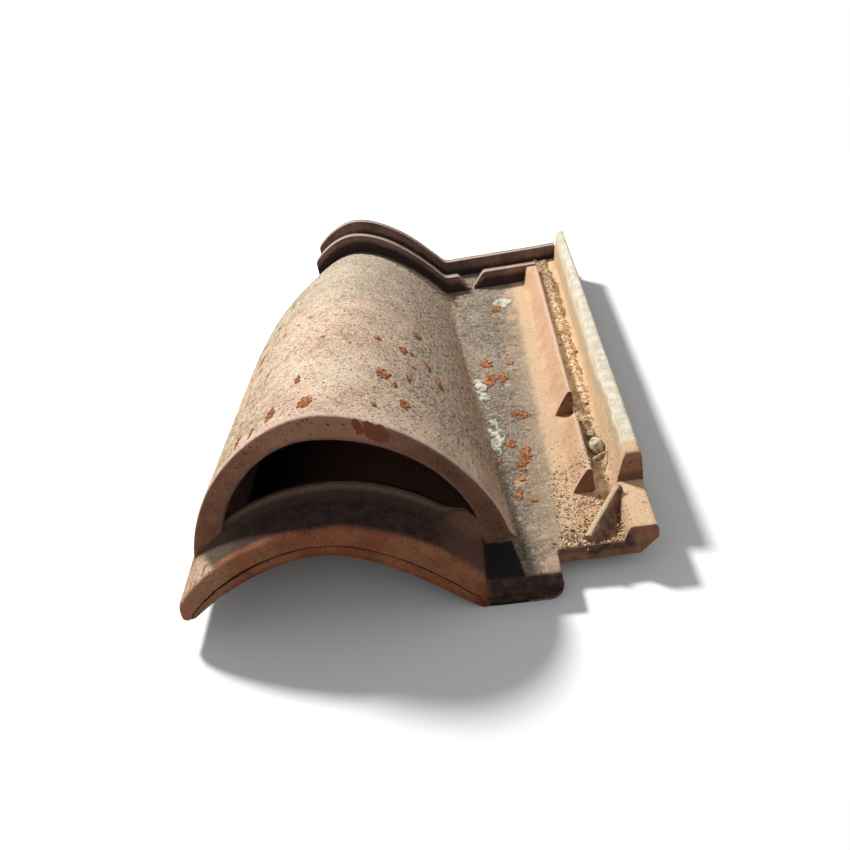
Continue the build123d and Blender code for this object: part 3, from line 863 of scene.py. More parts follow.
def twig(start, end, radius, seed):
    """A thin bent stalk: a ring of ten points carried along a line that sags by a sine, thinner at one
    end."""
    along, turn = np.meshgrid(np.linspace(0, 1, 14), np.linspace(0, 2 * math.pi, 11)[:-1], indexing="ij")
    start, end = np.array(start, float), np.array(end, float)
    way = (end - start) / np.linalg.norm(end - start)
    side = np.cross(way, [0, 0, 1.0])
    side /= np.linalg.norm(side)
    up = np.cross(side, way)
    uneven = grain(np.stack([along * 6, turn, turn * 0], -1), 1.0, seed)
    thick = radius * (1 - 0.35 * along) * (1 + 0.12 * uneven)
    middle = start + along[..., None] * (end - start) + up * (0.5 * np.sin(along * math.pi))[..., None]
    rings = middle + thick[..., None] * (np.cos(turn)[..., None] * side + np.sin(turn)[..., None] * up)
    return closed_rings(rings, start, end)


def triangles(pieces, name):
    """One mesh out of several sets of points and triangles, each with a tone."""
    shell = Shell(marks=("thick",))
    for points, faces, tone in pieces:
        p = points[faces]
        if np.sum(p[:, 0] * np.cross(p[:, 1], p[:, 2])) < 0:
            faces = faces[:, ::-1]
        shell.add(points, faces, thick=tone)
    return shell.mesh(name, crease=50)


# shader maths

class Wire:
    """A node socket that can be used in sums: each operator adds the Math node it stands for."""

    def __init__(self, paint, socket):
        self.paint, self.socket = paint, socket

    def __add__(self, other):
        return self.paint.math("ADD", self, other)

    __radd__ = __add__

    def __sub__(self, other):
        return self.paint.math("SUBTRACT", self, other)

    def __rsub__(self, other):
        return self.paint.math("SUBTRACT", other, self)

    def __mul__(self, other):
        return self.paint.math("MULTIPLY", self, other)

    __rmul__ = __mul__

    def step(self, low, high):
        """0 at low and 1 at high, smooth between, or the other way round where low is the larger."""
        node = self.paint.node("ShaderNodeMapRange", {"interpolation_type": "SMOOTHSTEP"},
                               {"Value": self, "From Min": low, "From Max": high})
        return Wire(self.paint, node.outputs["Result"])

    def wavy(self, noise, reach):
        """The value moved up and down by a noise from 0 to 1: value + (noise - 0.5) reach."""
        return self + (noise - 0.5) * reach


class Paint:
    """A material's node tree, with one method that adds any node."""

    def __init__(self, name):
        self.material = bpy.data.materials.new(name)
        self.material.use_nodes = True
        self.tree = self.material.node_tree
        self.shader = self.tree.nodes["Principled BSDF"]

    def node(self, kind, settings, sockets):
        """Adds a node, sets its own settings, then gives its sockets their values or links."""
        node = self.tree.nodes.new(kind)
        for name, value in settings.items():
            setattr(node, name, value)
        for name, value in sockets.items():
            self.feed(node.inputs[name], value)
        return node

    def feed(self, socket, value):
        """Links a wire to a socket, or sets the socket's own value, a colour with full alpha."""
        if isinstance(value, Wire):
            self.tree.links.new(value.socket, socket)
        elif hasattr(value, "__len__") and len(value) == 3 and len(socket.default_value) == 4:
            socket.default_value = (*value, 1.0)
        else:
            socket.default_value = value

    def math(self, operation, a, b):
        """One Math node over two values, of which one at least is a wire."""
        if not isinstance(a, Wire) and not isinstance(b, Wire):
            raise ValueError("numbers alone are worked out in Python")
        return Wire(self, self.node("ShaderNodeMath", {"operation": operation}, {0: a, 1: b}).outputs[0])

    def most(self, a, b):
        """The larger of two values."""
        return self.math("MAXIMUM", a, b)

    def blend(self, amount, low, high):
        """Colour that goes from low to high as amount goes from 0 to 1."""
        node = self.node("ShaderNodeMix", {"data_type": "RGBA"}, {0: amount, 6: low, 7: high})
        return Wire(self, node.outputs[2])

    def coats(self, colour, *layers):
        """A colour with others laid over it in turn, each as an amount from 0 to 1 and a colour."""
        for amount, over in layers:
            colour = self.blend(amount, colour, over)
        return colour

    def place(self):
        """Object coordinates turned into the tile's own millimetres."""
        given = self.node("ShaderNodeTexCoord", {}, {})
        return self.stretch(Wire(self, given.outputs["Object"]), (1000, 1000, 1000),
                            (-TILE_LOW[0], -TILE_LOW[1], -TILE_LOW[2] - NOSE_LOW))

    def stretch(self, vector, scale, shift=(0, 0, 0)):
        """A place times scale plus shift, so that a noise over it is drawn out where scale is below 1."""
        node = self.node("ShaderNodeVectorMath", {"operation": "MULTIPLY_ADD"},
                         {0: vector, 1: scale, 2: shift})
        return Wire(self, node.outputs[0])

    def parts(self, vector):
        """The three numbers of a place."""
        return [Wire(self, out) for out in self.node("ShaderNodeSeparateXYZ", {}, {0: vector}).outputs]

    def noise(self, vector, size, detail=2.0, rough=0.5, twist=0.0):
        """Noise from 0 to 1 whose features are about size millimetres wide."""
        node = self.node("ShaderNodeTexNoise", {}, {"Vector": vector, "Scale": 1.0 / size, "Detail": detail,
                                                    "Roughness": rough, "Distortion": twist})
        return Wire(self, node.outputs["Fac"])

    def dots(self, vector, size, most, uneven):
        """Scattered dots on a spacing of size millimetres: 1 within a share of the spacing that differs from
        dot to dot up to most, with outlines drawn in and out by uneven, a noise."""
        node = self.node("ShaderNodeTexVoronoi", {}, {"Vector": vector, "Scale": 1.0 / size})
        chance = self.parts(Wire(self, node.outputs["Color"]))[0]
        reach = (chance * most).wavy(uneven, 0.5) - Wire(self, node.outputs["Distance"])
        return reach.step(0.0, 0.07)

    def mark(self, name):
        """A mark that the mesh carries as one number for each vertex."""
        return Wire(self, self.node("ShaderNodeAttribute", {"attribute_name": name}, {}).outputs["Fac"])

    def facing(self):
        """The three parts of the direction in which the surface looks."""
        return self.parts(Wire(self, self.node("ShaderNodeNewGeometry", {}, {}).outputs["Normal"]))

    def finish(self, colour, roughness, height, depth, strength=1.0):
        """Feeds the shader: colour, roughness, and a bump whose height of 1 stands depth metres high."""
        bump = self.node("ShaderNodeBump", {}, {"Height": height, "Distance": depth, "Strength": strength})
        self.feed(self.shader.inputs["Base Color"], colour)
        self.feed(self.shader.inputs["Roughness"], roughness)
        self.feed(self.shader.inputs["Normal"], Wire(self, bump.outputs[0]))
        self.shader.inputs["Specular IOR Level"].default_value = 0.15
        return self.material


class Tones:
    """Colours of the clay by zone, of what grows and lies on it, of its stains, and of the light and shade
    painted on it.
    """
    # hood
    tan, pink, pale, ochre = (0.74, 0.52, 0.355), (0.70, 0.47, 0.335), (0.84, 0.69, 0.52), (0.70, 0.51, 0.30)
    shade, flank, head = (0.36, 0.26, 0.18), (0.46, 0.35, 0.265), (0.37, 0.31, 0.23)
    green, lip, rust_mark = (0.52, 0.46, 0.33), (0.70, 0.49, 0.39), (0.30, 0.12, 0.05)
    mark, soot = (0.13, 0.08, 0.05), (0.075, 0.05, 0.037)
    # pan, with the hood's painted shadow in the corner beside the roll
    grey, grey_dark, fleck = (0.27, 0.225, 0.165), (0.145, 0.12, 0.09), (0.56, 0.48, 0.37)
    blotch, stain = (0.62, 0.38, 0.27), (0.013, 0.011, 0.013)
    # lock
    peach, peach_deep, dust = (0.70, 0.46, 0.285), (0.60, 0.36, 0.215), (0.68, 0.49, 0.31)
    cream, cream_dull, crest = (0.83, 0.77, 0.63), (0.68, 0.59, 0.44), (0.78, 0.54, 0.42)
    sandy, lit, olive = (0.44, 0.36, 0.23), (0.86, 0.60, 0.38), (0.64, 0.50, 0.28)
    # roll and nose, the plums partly painted shadow, and one tone of painted light
    plum, plum_dark, sill = (0.075, 0.043, 0.038), (0.036, 0.022, 0.021), (0.22, 0.145, 0.10)
    orange, rust, glow = (0.39, 0.15, 0.07), (0.33, 0.098, 0.045), (0.62, 0.32, 0.20)
    grime, red = (0.16, 0.115, 0.068), (0.27, 0.085, 0.045)
    # bare clay, the mouth's inside and the weather ribs, with painted light on the ribs' tops and edges
    clay, clay_deep, tarnish = (0.42, 0.19, 0.11), (0.29, 0.135, 0.08), (0.12, 0.062, 0.042)
    inside, inside_brown = (0.21, 0.115, 0.09), (0.33, 0.165, 0.125)
    maroon, maroon_dark = (0.26, 0.155, 0.12), (0.15, 0.092, 0.075)
    rib_top, rib_edge = (0.34, 0.26, 0.20), (0.62, 0.49, 0.41)


class ClayPaint(Paint):
    """Paint for the fired clay, with its places, the way its faces look, and the noises its zones share."""

    def __init__(self, tone):
        super().__init__("weathered_clay")
        self.tone, self.spot = tone, self.place()
        self.xyz, self.way = self.parts(self.spot), self.facing()
        spot, (x, y, z) = self.spot, self.xyz
        self.cloud = self.noise(spot, 70, 3, 0.6)
        self.patchy = self.noise(spot, 24, 4, 0.62, 0.4)
        self.mottle = self.noise(spot, 7, 4, 0.65)
        self.fine = self.noise(spot, 2.4, 3, 0.7)
        self.sand = self.noise(spot, 1.25, 4, 0.8)
        self.grit = self.noise(spot, 0.9, 2, 0.6)
        self.drift = self.noise(self.stretch(spot, (1, 0.7, 1), (90, 20, 0)), 34, 4, 0.62, 0.8)
        self.grains = self.noise(self.stretch(spot, (1.0, 0.8, 1.0), (7, 3, 0)), 2.3, 3, 0.6, 0.5)
        self.mixed = self.mottle.step(0.36, 0.66)
        self.to_nose = self.way[1] * -1
        self.faces_nose = self.to_nose.step(0.3, 0.7)
        self.flank = (x.wavy(self.patchy, 50) - z * 0.4).step(78, 132) * y.step(36, 100)
        self.coarse = self.dots(spot, 2.2, self.flank * 0.32 + 0.40, self.fine)


def hood_colours(p):
    """Two colours of the hood: plain, and with its lip and a band of painted shadow in front of the front
    weather rib. Tan clay with grains and pits, grey and green towards the head, darker down the flank beside
    the pan, ochre and streaked at its left."""
    tone, spot, (x, y) = p.tone, p.spot, p.xyz[:2]
    drift, grains, sand = p.drift, p.grains, p.sand
    head = y.wavy(p.cloud, 160).step(205, 330)
    swirl = p.noise(p.stretch(spot, (0.55, 1.3, 1.0)), 26, 4, 0.6, 1.4)
    towards_head, rear = y.step(170, 300), y.step(150, 280)
    pitted = (p.patchy.wavy(p.mottle, 0.5).step(0.34, 0.6) * 0.4 + 0.35) * (1 - towards_head * 0.35)
    pitted = p.most(pitted, p.flank * 0.7)
    pits = p.dots(p.stretch(spot, (1, 1, 1), (5, 5, 5)), 4.6, 0.22, p.fine)
    left = x.step(84, 26)
    streak = p.noise(p.stretch(spot, (1.0, 0.3, 1.0)), 3.6, 3, 0.6)
    warm = p.noise(p.stretch(spot, (1.0, 0.5, 1.0), (40, 0, 0)), 6.0, 2, 0.5)
    dark = p.mark("dark").wavy(p.fine, 0.9).step(0.42, 0.62)
    plain = p.coats(
        p.blend(p.patchy.step(0.36, 0.64), tone.tan, tone.pink),
        (drift.step(0.52, 0.64) * 0.6, tone.pale),
        (drift.step(0.50, 0.36) * 0.6, tone.shade),
        (x.step(78, 30) * (towards_head * 0.45 + 0.2), tone.shade),
        (x.step(74, 34) * 0.35, tone.ochre),
        (head * 0.82, tone.head),
        (swirl.step(0.49, 0.57) * (rear * 0.7 + 0.1), tone.green),
        (swirl.step(0.60, 0.66) * rear * 0.4, tone.pale),
        (p.flank * 0.7, tone.flank),
        (sand.step(0.50, 0.36) * pitted, tone.mark),
        (p.grit.step(0.50, 0.36) * pitted * 0.6, tone.mark),
        (grains.step(0.44, 0.36) * pitted * 0.6, tone.mark),
        (p.coarse * 0.8, tone.soot),
        (pits * 0.8, tone.soot),
        (sand.step(0.53, 0.61) * (p.flank * 0.35 + 0.6), tone.pale),
        (grains.step(0.56, 0.64) * 0.6, tone.pale),
        (streak.step(0.54, 0.63) * left * 0.75, tone.mark),
        (warm.step(0.62, 0.68) * (left * 0.6 + 0.12), tone.rust_mark),
        (dark * 0.85, tone.mark))
    # painted shadow: a dark band on the hood just in front of the front weather rib
    band = y.wavy(p.mottle, 5).step(HEAD_Y - 8, HEAD_Y - 3) * y.step(HEAD_Y + 5, HEAD_Y + 1)
    return plain, p.coats(plain, (y.wavy(p.mottle, 7).step(MOUTH_Y + 8, MOUTH_Y + 3) * 0.75, tone.lip),
                          (band * 0.85, tone.soot))


def pan_colour(p):
    """Grey growth with pale and black flecks, darker to the front, dusty towards the lock, with bare pink
    blotches, and the hood's shadow painted near black in the corner beside the roll."""
    tone, (x, y) = p.tone, p.xyz[:2]
    bare_spots = p.noise(p.stretch(p.spot, (1, 0.8, 1), (0, 50, 0)), 5, 4, 0.7, 0.6)
    bare_spots = bare_spots.wavy(p.sand, 0.2) + p.mark("pink") * 0.2
    # painted shadow: the hood's shadow on the pan beside the roll, near black, edged along x + 0.17 y =
    # 192.5
    stain = (x + y * 0.17).wavy(p.fine, 1.6).step(192.5, 191.0) * y.wavy(p.mottle, 3).step(33, 30)
    return p.coats(
        p.blend(p.mixed, tone.grey, tone.grey_dark),
        (p.drift.step(0.46, 0.62) * 0.45, tone.flank),
        (p.sand.step(0.53, 0.65) * 0.75, tone.fleck),
        (y.step(230, 130) * 0.32, tone.grey_dark),
        (y.step(130, 40) * 0.25, tone.grey_dark),
        (p.grains.step(0.44, 0.36) * 0.7, tone.soot),
        (p.grains.step(0.57, 0.64) * 0.5, tone.fleck),
        (p.sand.step(0.47, 0.34) * 0.75, tone.soot),
        (p.dots(p.spot, 2.6, 0.34, p.fine) * 0.6, tone.soot),
        (x.wavy(p.patchy, 34).step(194, 216) * 0.36, tone.dust),
        (bare_spots.step(0.58, 0.65) * (y.step(20, 90) * 0.3 + 0.5), tone.blotch),
        # painted shadow of the hood, near black
        (stain * 0.96, tone.stain))


def lock_colour(p):
    """Clean peach clay, dusty at its left, with a lit ledge and crest, and with sand and black crumbs that
    thicken towards the front."""
    tone, (x, y, z), mottle, sand = p.tone, p.xyz, p.mottle, p.sand
    dusty = p.most(x.step(226, 222) * 0.75, mottle.wavy(sand, 0.4).step(0.48, 0.64) * 0.55)
    slope = x.step(226, 229) * x.step(238, 235)
    ledge = x.step(LEDGE_X - 0.5, LEDGE_X + 1.5) * y.step(OUTER_RIB_END, OUTER_RIB_END - 4)
    crest = x.step(233.8, 235.0) * x.step(239.5, 238) * z.step(8, 11)
    trough = x.step(240, 244) * y.step(OUTER_RIB_END, OUTER_RIB_END + 4)
    front = y.wavy(p.patchy, 60).step(165, 50) * x.wavy(mottle, 8).step(254, 246)
    return p.coats(
        p.blend(p.patchy.step(0.38, 0.66), tone.peach, tone.peach_deep),
        (dusty, tone.dust),
        (slope * 0.4, tone.peach_deep),
        (ledge * 0.5, tone.lit),
        (crest * 0.7, tone.crest),
        (trough, p.blend(mottle.step(0.4, 0.6), tone.ochre, tone.peach)),
        (mottle.wavy(sand, 0.5).step(0.50, 0.62) * front * 0.4, tone.sandy),
        (p.dots(p.spot, 2.3, front * 0.16 + 0.26, p.fine) * 0.7, tone.soot),
        (sand.step(0.42, 0.34) * (front * 0.45 + 0.1), tone.mark))


def flat_colour(p):
    """Pan and lock, and on the outer rib a pale crust with a wavering border and a sandy rim."""
    tone, (x, y, z), mottle = p.tone, p.xyz, p.mottle
    on_lock = x.wavy(mottle, 10).wavy(p.fine, 6).step(211.5, 217.5)
    wave = p.noise(p.stretch(p.spot, (0.3, 1, 0)), 34, 3, 0.6)
    border = (x - y * 0.006).wavy(wave, 7).wavy(mottle, 2.4) + 0.9 - y.step(96, 76) * (x - 263) * 0.2
    border = border - y.step(104, 76) * 2
    crust = border.step(253.2, 254.8) * y.wavy(mottle, 5).step(71, 76)
    rim = border.step(251.0, 252.6) * border.step(255.4, 253.6) * y.step(62, 70)
    return p.coats(
        pan_colour(p), (on_lock, lock_colour(p)), (rim * 0.45, tone.sandy),
        (crust * z.step(14, 20), p.blend(mottle.step(0.35, 0.62), tone.cream, tone.cream_dull)))


def roll_colour(p, plain):
    """Roll in front of the mouth: plum, dark staining deepened as painted shadow of the hood, with a lighter
    sill, painted shade behind the sill under the hood, bare clay on the web, orange clay at the nose with
    painted light on its left part, and painted light at its left tip in the hood's plain colour."""
    tone, (x, y), (nx, ny, nz) = p.tone, p.xyz[:2], p.way
    patchy, mottle, fine, sand = p.patchy, p.mottle, p.fine, p.sand
    sill = y.wavy(fine, 2).step(34.5, 37.5) * y.wavy(fine, 2).step(43, 40.5)
    web = x.wavy(mottle, 6).step(WEB_FOOT + 2, WEB_FOOT + 16) * y.wavy(mottle, 4).step(23, 30)
    # the nose's left part gets painted light
    nose = p.coats(p.blend(patchy.step(0.38, 0.62), tone.orange, tone.rust),
                   (mottle.step(0.50, 0.68) * 0.55, tone.grime), (x.step(46, 26) * 0.35, tone.glow))
    # painted light: the roll's left tip outside the hood's shadow, on faces turned up and to the left, in
    # the hood's weathered plain colour
    tip = (x + y * 0.64).wavy(mottle, 4).step(34, 27) * (nz * 0.6 - ny - nx * 0.8 + 0.3).step(0.2, 0.6)
    return p.coats(
        # plum: dark staining deepened into painted shadow of the hood over the roll
        p.blend(p.mixed, tone.plum, tone.plum_dark),
        (x.wavy(patchy, 40).step(60, 5) * 0.7, tone.grime),
        ((x.wavy(patchy, 20) - y * 0.2).step(138, 166) * 0.75, tone.clay_deep),
        (sill * 0.8, tone.sill),
        # painted shade: the roll behind the sill, under the hood, near black
        (y.step(42, 45), tone.plum_dark),
        (web * 0.85, p.blend(p.mixed, tone.clay, tone.clay_deep)),
        (y.step(22, 34) * y.step(42, 38) * 0.3, tone.sill),
        (x.wavy(patchy, 24).step(142, 170) * 0.55, tone.plum),
        (y.wavy(patchy, 4).wavy(mottle, 2).step(6.5, 1.0), nose),
        (sand.step(0.46, 0.34) * 0.6, tone.plum_dark),
        (sand.step(0.56, 0.66) * 0.35, tone.clay),
        (p.dots(p.spot, 2.6, 0.30, fine) * 0.6, tone.soot),
        (tip * p.to_nose.step(0.75, 0.45), p.blend(0.25, plain, tone.clay)))


def zone_colour(p):
    """Hood, roll and flat, each in its own zone: the hood behind the mouth, and the flat right of the valley
    at the hood's foot."""
    (x, y, z), (plain, hood) = p.xyz, hood_colours(p)
    on_hood = y.step(MOUTH_Y - 0.5, MOUTH_Y + 0.5) * (1 - p.mark("roll"))
    valley = (x + y * 0.0815 - 191).wavy(p.fine, 5).step(-1.5, 2.5) * z.step(5, 1.5)
    beside = p.most(valley, x.step(169.5, 171.5) * y.step(MOUTH_Y + 2, MOUTH_Y))
    on_flat = p.most(beside, x.step(200, 203))
    return p.coats(roll_colour(p, plain), (on_hood, hood), (on_flat, flat_colour(p)))


def bare_colour(p):
    """Bare clay, lit at the crest of the mouth's ring, tarnished at its sides, with sooty spots."""
    tone, (x, y, z) = p.tone, p.xyz
    off_ribs = p.most(x.step(212, 200), y.step(60, 63) * x.step(242, 239))
    return p.coats(
        p.blend(p.mixed, tone.clay, tone.clay_deep),
        (p.sand.step(0.45, 0.33) * 0.5, tone.mark),
        # painted light on the upper part of the mouth's ring
        (x.step(50, 85) * x.step(150, 115) * z.step(60, 80) * 0.35, tone.glow),
        (x.wavy(p.patchy, 50).step(110, 165) * off_ribs * 0.6, tone.tarnish),
        (x.step(60, 20) * 0.25, tone.tarnish),
        (p.dots(p.spot, 5.5, 0.24, p.fine) * 0.8, tone.soot),
        (p.coarse * (p.patchy.step(0.45, 0.6) * 0.5 + 0.2), tone.soot))


def rib_colour(p):
    """Weather ribs: maroon, with painted light on their upward faces, a painted highlight along the front
    top edge and painted shadow at the foot.
    """
    tone, y = p.tone, p.xyz[1]
    foot = p.mark("foot").wavy(p.mottle, 0.3) + y.step(380, 376) * 0.16
    return p.coats(
        p.blend(p.patchy.step(0.35, 0.65), tone.maroon, tone.maroon_dark),
        (p.dots(p.spot, 4.0, 0.26, p.fine) * 0.7, tone.soot),
        # painted light on the upward faces, painted shadow at the foot, painted highlight along the front
        # top edge
        (p.way[2].step(0.7, 0.92) * 0.6, tone.rib_top),
        (foot.step(0.36, 0.62) * 0.93, tone.plum_dark),
        (p.mark("edge").wavy(p.fine, 0.6).step(0.3, 0.7) * 0.8, tone.rib_edge))


def bare_faces(p):
    """Where the clay is bare: the mouth's ring with its foot on the web, and the lock's faces that look at
    the nose."""
    x, y, z = p.xyz
    ring_foot = x.step(166, 169) * x.step(200, 196) * y.step(29.5, 31) * z.step(0.3, 1.5)
    ring = p.most(p.mark("ring"), ring_foot) * p.faces_nose
    plate = p.most(x.step(200, 203), x.step(169.5, 171.5) * y.step(20, 15))
    return p.most(ring, p.to_nose.wavy(p.fine, 0.2).step(0.35, 0.75) * plate)


def clay_material(tone):
    """Fired clay weathered by zones, with bare clay on the faces that look at the nose and underneath, the
    deflector's mossy top and painted shade on its side, soot on the lock's front, painted shade on the front
    faces of the pan and lock, painted shadow low on the outer rib's end, a red mark, and the mould line."""
    p = ClayPaint(tone)
    (x, y, z), (nx, ny, nz), mottle, fine, sand = p.xyz, p.way, p.mottle, p.fine, p.sand
    bare = bare_colour(p)
    ridge = x.step(226, 228) * y.step(53, 50) * (z - (x - 228) * 0.28).step(3.0, 4.0) * nz.step(0.5, 0.8)
    mossy = p.blend(sand.step(0.42, 0.5), tone.flank, tone.olive)
    # painted shade: the deflector's side that looks to the front and right, dark brown to near black
    wedge = x.step(224, 227) * x.step(253, 250) * y.step(54, 50) * (nx - ny).step(0.45, 0.75)
    wedge_colour = p.blend(mottle.wavy(sand, 0.4).step(0.4, 0.6), tone.clay_deep, tone.soot)
    sooty = x.step(210, 213) * y.step(21, 19.4) * z.wavy(mottle, 6).step(-5.5, -2.5)
    sooty = sooty * p.faces_nose * (0.45 - x.wavy(mottle, 8).step(238, 248) * 0.4)
    # painted shade: the faces of the pan and lock that look at the nose, darkened towards near black
    front = y.step(7, 3) * x.step(168, 174) * p.faces_nose
    # painted shadow: the lower part of the outer rib's end face, near black
    rib_end = x.step(247, 249) * y.step(64, 62) * p.faces_nose * y.step(57, 58.5)
    red = p.mark("red").wavy(mottle, 1.1).wavy(fine, 0.4).step(0.48, 0.56)
    colour = p.coats(
        zone_colour(p),
        (bare_faces(p), bare),
        (ridge * x.step(251, 249) * 0.8, mossy),
        (wedge * 0.9, wedge_colour),
        (sooty, tone.soot),
        (front * (mottle.step(0.35, 0.6) * 0.3 + 0.62), tone.plum_dark),
        (rib_end * (z.wavy(mottle, 4).step(17, 12) * 0.6), tone.soot),
        (red * p.to_nose.step(0.0, 0.3), tone.red),
        (p.mark("rib"), rib_colour(p)),
        (nz.step(-0.3, -0.75) * 0.85, bare),
        (p.mark("seam").wavy(fine, 0.7).step(0.36, 0.62) * 0.92, tone.plum_dark),
        (p.mark("inside"), p.blend(p.mixed, tone.inside, tone.inside_brown)))
    height = fine * 0.4 + sand * 0.38 + mottle * 0.4 + p.grit * 0.35 - p.coarse * 0.3
    return p.finish(colour, 0.96 - mottle * 0.08, height, 0.0012, 0.9)


def growth_material(name, deep, middle, high, size):
    """Lichen: colour by its own thickness and a grain of the given size in millimetres."""
    p = Paint(name)
    spot, thick = p.place(), p.mark("thick")
    grain = p.noise(spot, size, 3, 0.65)
    mottle = p.noise(spot, size * 3.5, 2, 0.5)
    colour = p.coats(
        p.blend(thick.wavy(grain, 1.2).step(0.08, 0.5), deep, middle),
        ((thick * 0.5 + mottle * 0.7).wavy(grain, 0.6).step(0.55, 0.85), high),
        (grain.step(0.44, 0.34) * 0.7, deep))
    return p.finish(colour, 0.95, grain, 0.0012)


def dirt_material():
    """Crumbled clay and earth: light sand with brown and near-black grains, darker at the head and where it
    is damp, each crumb with its own tone."""
    p = Paint("ochre_dirt")
    spot, thick = p.place(), p.mark("thick")
    y = p.parts(spot)[1]
    grain = p.noise(spot, 1.3, 3, 0.7)
    mottle = p.noise(spot, 6, 3, 0.6)
    damp = y.wavy(mottle, 40).step(150, 132) * y.wavy(mottle, 20).step(78, 92)
    colour = p.coats(
        p.blend(mottle.wavy(grain, 0.5).step(0.36, 0.6), (0.76, 0.54, 0.33), (0.97, 0.74, 0.47)),
        ((thick - y.step(66, 54) * 0.34).step(0.19, 0.06), (0.29, 0.20, 0.125)),
        (grain.step(0.42, 0.32) * 0.36, (0.18, 0.12, 0.075)),
        (y.wavy(mottle, 60).step(285, 350) * 0.6, (0.34, 0.235, 0.15)),
        (damp * 0.55, p.blend(grain.step(0.4, 0.6), (0.12, 0.09, 0.06), (0.42, 0.36, 0.26))))
    return p.finish(colour, 0.97, grain * 0.7 + mottle * 0.4, 0.0014)


def pebble_material():
    """Pale stone and dry stalk, with brown hollows."""
    p = Paint("pale_pebble")
    spot = p.place()
    mottle = p.noise(spot, 3.0, 3, 0.6)
    grain = p.noise(spot, 0.9, 2, 0.6)
    colour = p.coats(p.blend(mottle.step(0.36, 0.6), (0.24, 0.19, 0.12), (0.66, 0.58, 0.42)),
                     (grain.step(0.42, 0.34) * 0.5, (0.12, 0.09, 0.06)))
    return p.finish(colour, 0.85, mottle + grain * 0.4, 0.0008)


def floor_material(white):
    """Floor that shows white to the camera, keeps the tile's shadow, and throws little light back up.
    Beneath the hood's hollow it carries painted shade, darkest at the open left side, and far from the tile
    it turns into plain white."""
    p = Paint("pale_floor")
    path = Wire(p, p.node("ShaderNodeLightPath", {}, {}).outputs["Is Camera Ray"])
    x, y = p.parts(p.place())[:2]
    # painted shade: the floor under the hood's hollow, near black at the open left side and dark brown
    # further in
    under = (x - y * 0.04).step(-8, -2) * x.step(215, 200) * y.step(66, 84) * y.step(330, 250)
    shown = p.blend(path, (0.34, 0.34, 0.34), tuple(white))
    hollow = p.blend(x.step(24, 120), (0.006, 0.004, 0.0035), (0.30, 0.16, 0.115))
    p.feed(p.shader.inputs["Base Color"], p.blend(under, shown, hollow))
    p.shader.inputs["Roughness"].default_value = 1.0
    p.shader.inputs["Specular IOR Level"].default_value = 0.0
    given = p.node("ShaderNodeTexCoord", {}, {})
    far = p.node("ShaderNodeVectorMath", {"operation": "LENGTH"}, {0: Wire(p, given.outputs["Object"])})
    edge = Wire(p, far.outputs["Value"]).step(0.34, 0.62) * path
    plain = p.node("ShaderNodeEmission", {}, {"Color": (1, 1, 1), "Strength": 1.0})
    both = p.node("ShaderNodeMixShader", {}, {0: edge})
    p.tree.links.new(p.shader.outputs[0], both.inputs[1])
    p.tree.links.new(plain.outputs[0], both.inputs[2])
    p.tree.links.new(both.outputs[0], p.tree.nodes["Material Output"].inputs[0])
    return p.material


# stage

FLOOR_REACH = 8.0
CAMERA_PLACE = (0.05823, -0.55668, 0.34554)
CAMERA_TURN = (55.3355, 10.9182, 1.8216)
CAMERA_LENS, CAMERA_SHIFT = 38.168, (0.04748, 0.04113)


def add_object(name, data):
    """A new object in the scene that isn't a piece of the tile."""
    holder = bpy.data.objects.new(name, data)
    bpy.context.scene.collection.objects.link(holder)
    return holder


def aimed(name, kind, spot, power, size, target=(0.0, 0.0, 0.04)):
    """A round lamp at spot that points its -Z axis at the target."""
    lamp = bpy.data.lights.new(name, kind)
    lamp.shape, lamp.size, lamp.energy = "DISK", size, power
    holder = add_object(name, lamp)
    holder.location = spot
    holder.rotation_euler = (Vector(target) - Vector(spot)).to_track_quat("-Z", "Y").to_euler()


def backdrop(strength):
    """World that lights the tile evenly and shows white to the camera."""
    world = bpy.data.worlds.new("studio")
    bpy.context.scene.world = world
    world.use_nodes = True
    nodes, links = world.node_tree.nodes, world.node_tree.links
    light, seen = nodes["Background"], nodes.new("ShaderNodeBackground")
    light.inputs[0].default_value, light.inputs[1].default_value = (0.94, 0.97, 1.0, 1), strength
    seen.inputs[0].default_value, seen.inputs[1].default_value = (1, 1, 1, 1), 1.0
    path, blend = nodes.new("ShaderNodeLightPath"), nodes.new("ShaderNodeMixShader")
    ends = (path.outputs["Is Camera Ray"], light.outputs[0], seen.outputs[0])
    for k, output in enumerate(ends):
        links.new(output, blend.inputs[k])
    links.new(blend.outputs[0], nodes["World Output"].inputs[0])


def photo_camera():
    """The camera that was fitted to the photograph."""
    camera = bpy.data.cameras.new("camera")
    camera.sensor_width, camera.lens = 36.0, CAMERA_LENS
    camera.shift_x, camera.shift_y = CAMERA_SHIFT
    camera.clip_start, camera.clip_end = 0.01, 60
    holder = add_object("camera", camera)
    holder.location = CAMERA_PLACE
    holder.rotation_euler = [math.radians(a) for a in CAMERA_TURN]
    return holder


# add-on

def colour_setting(name, description, default):
    """A user's colour."""
    return bpy.props.FloatVectorProperty(name=name, description=description, default=default,
                                         subtype="COLOR", min=0, max=1)


def height_setting(name, description, default, high):
    """A user's height of a growth, in metres."""
    return bpy.props.FloatProperty(name=name, description=description, default=default, min=0.0002, max=high,
                                   unit="LENGTH")


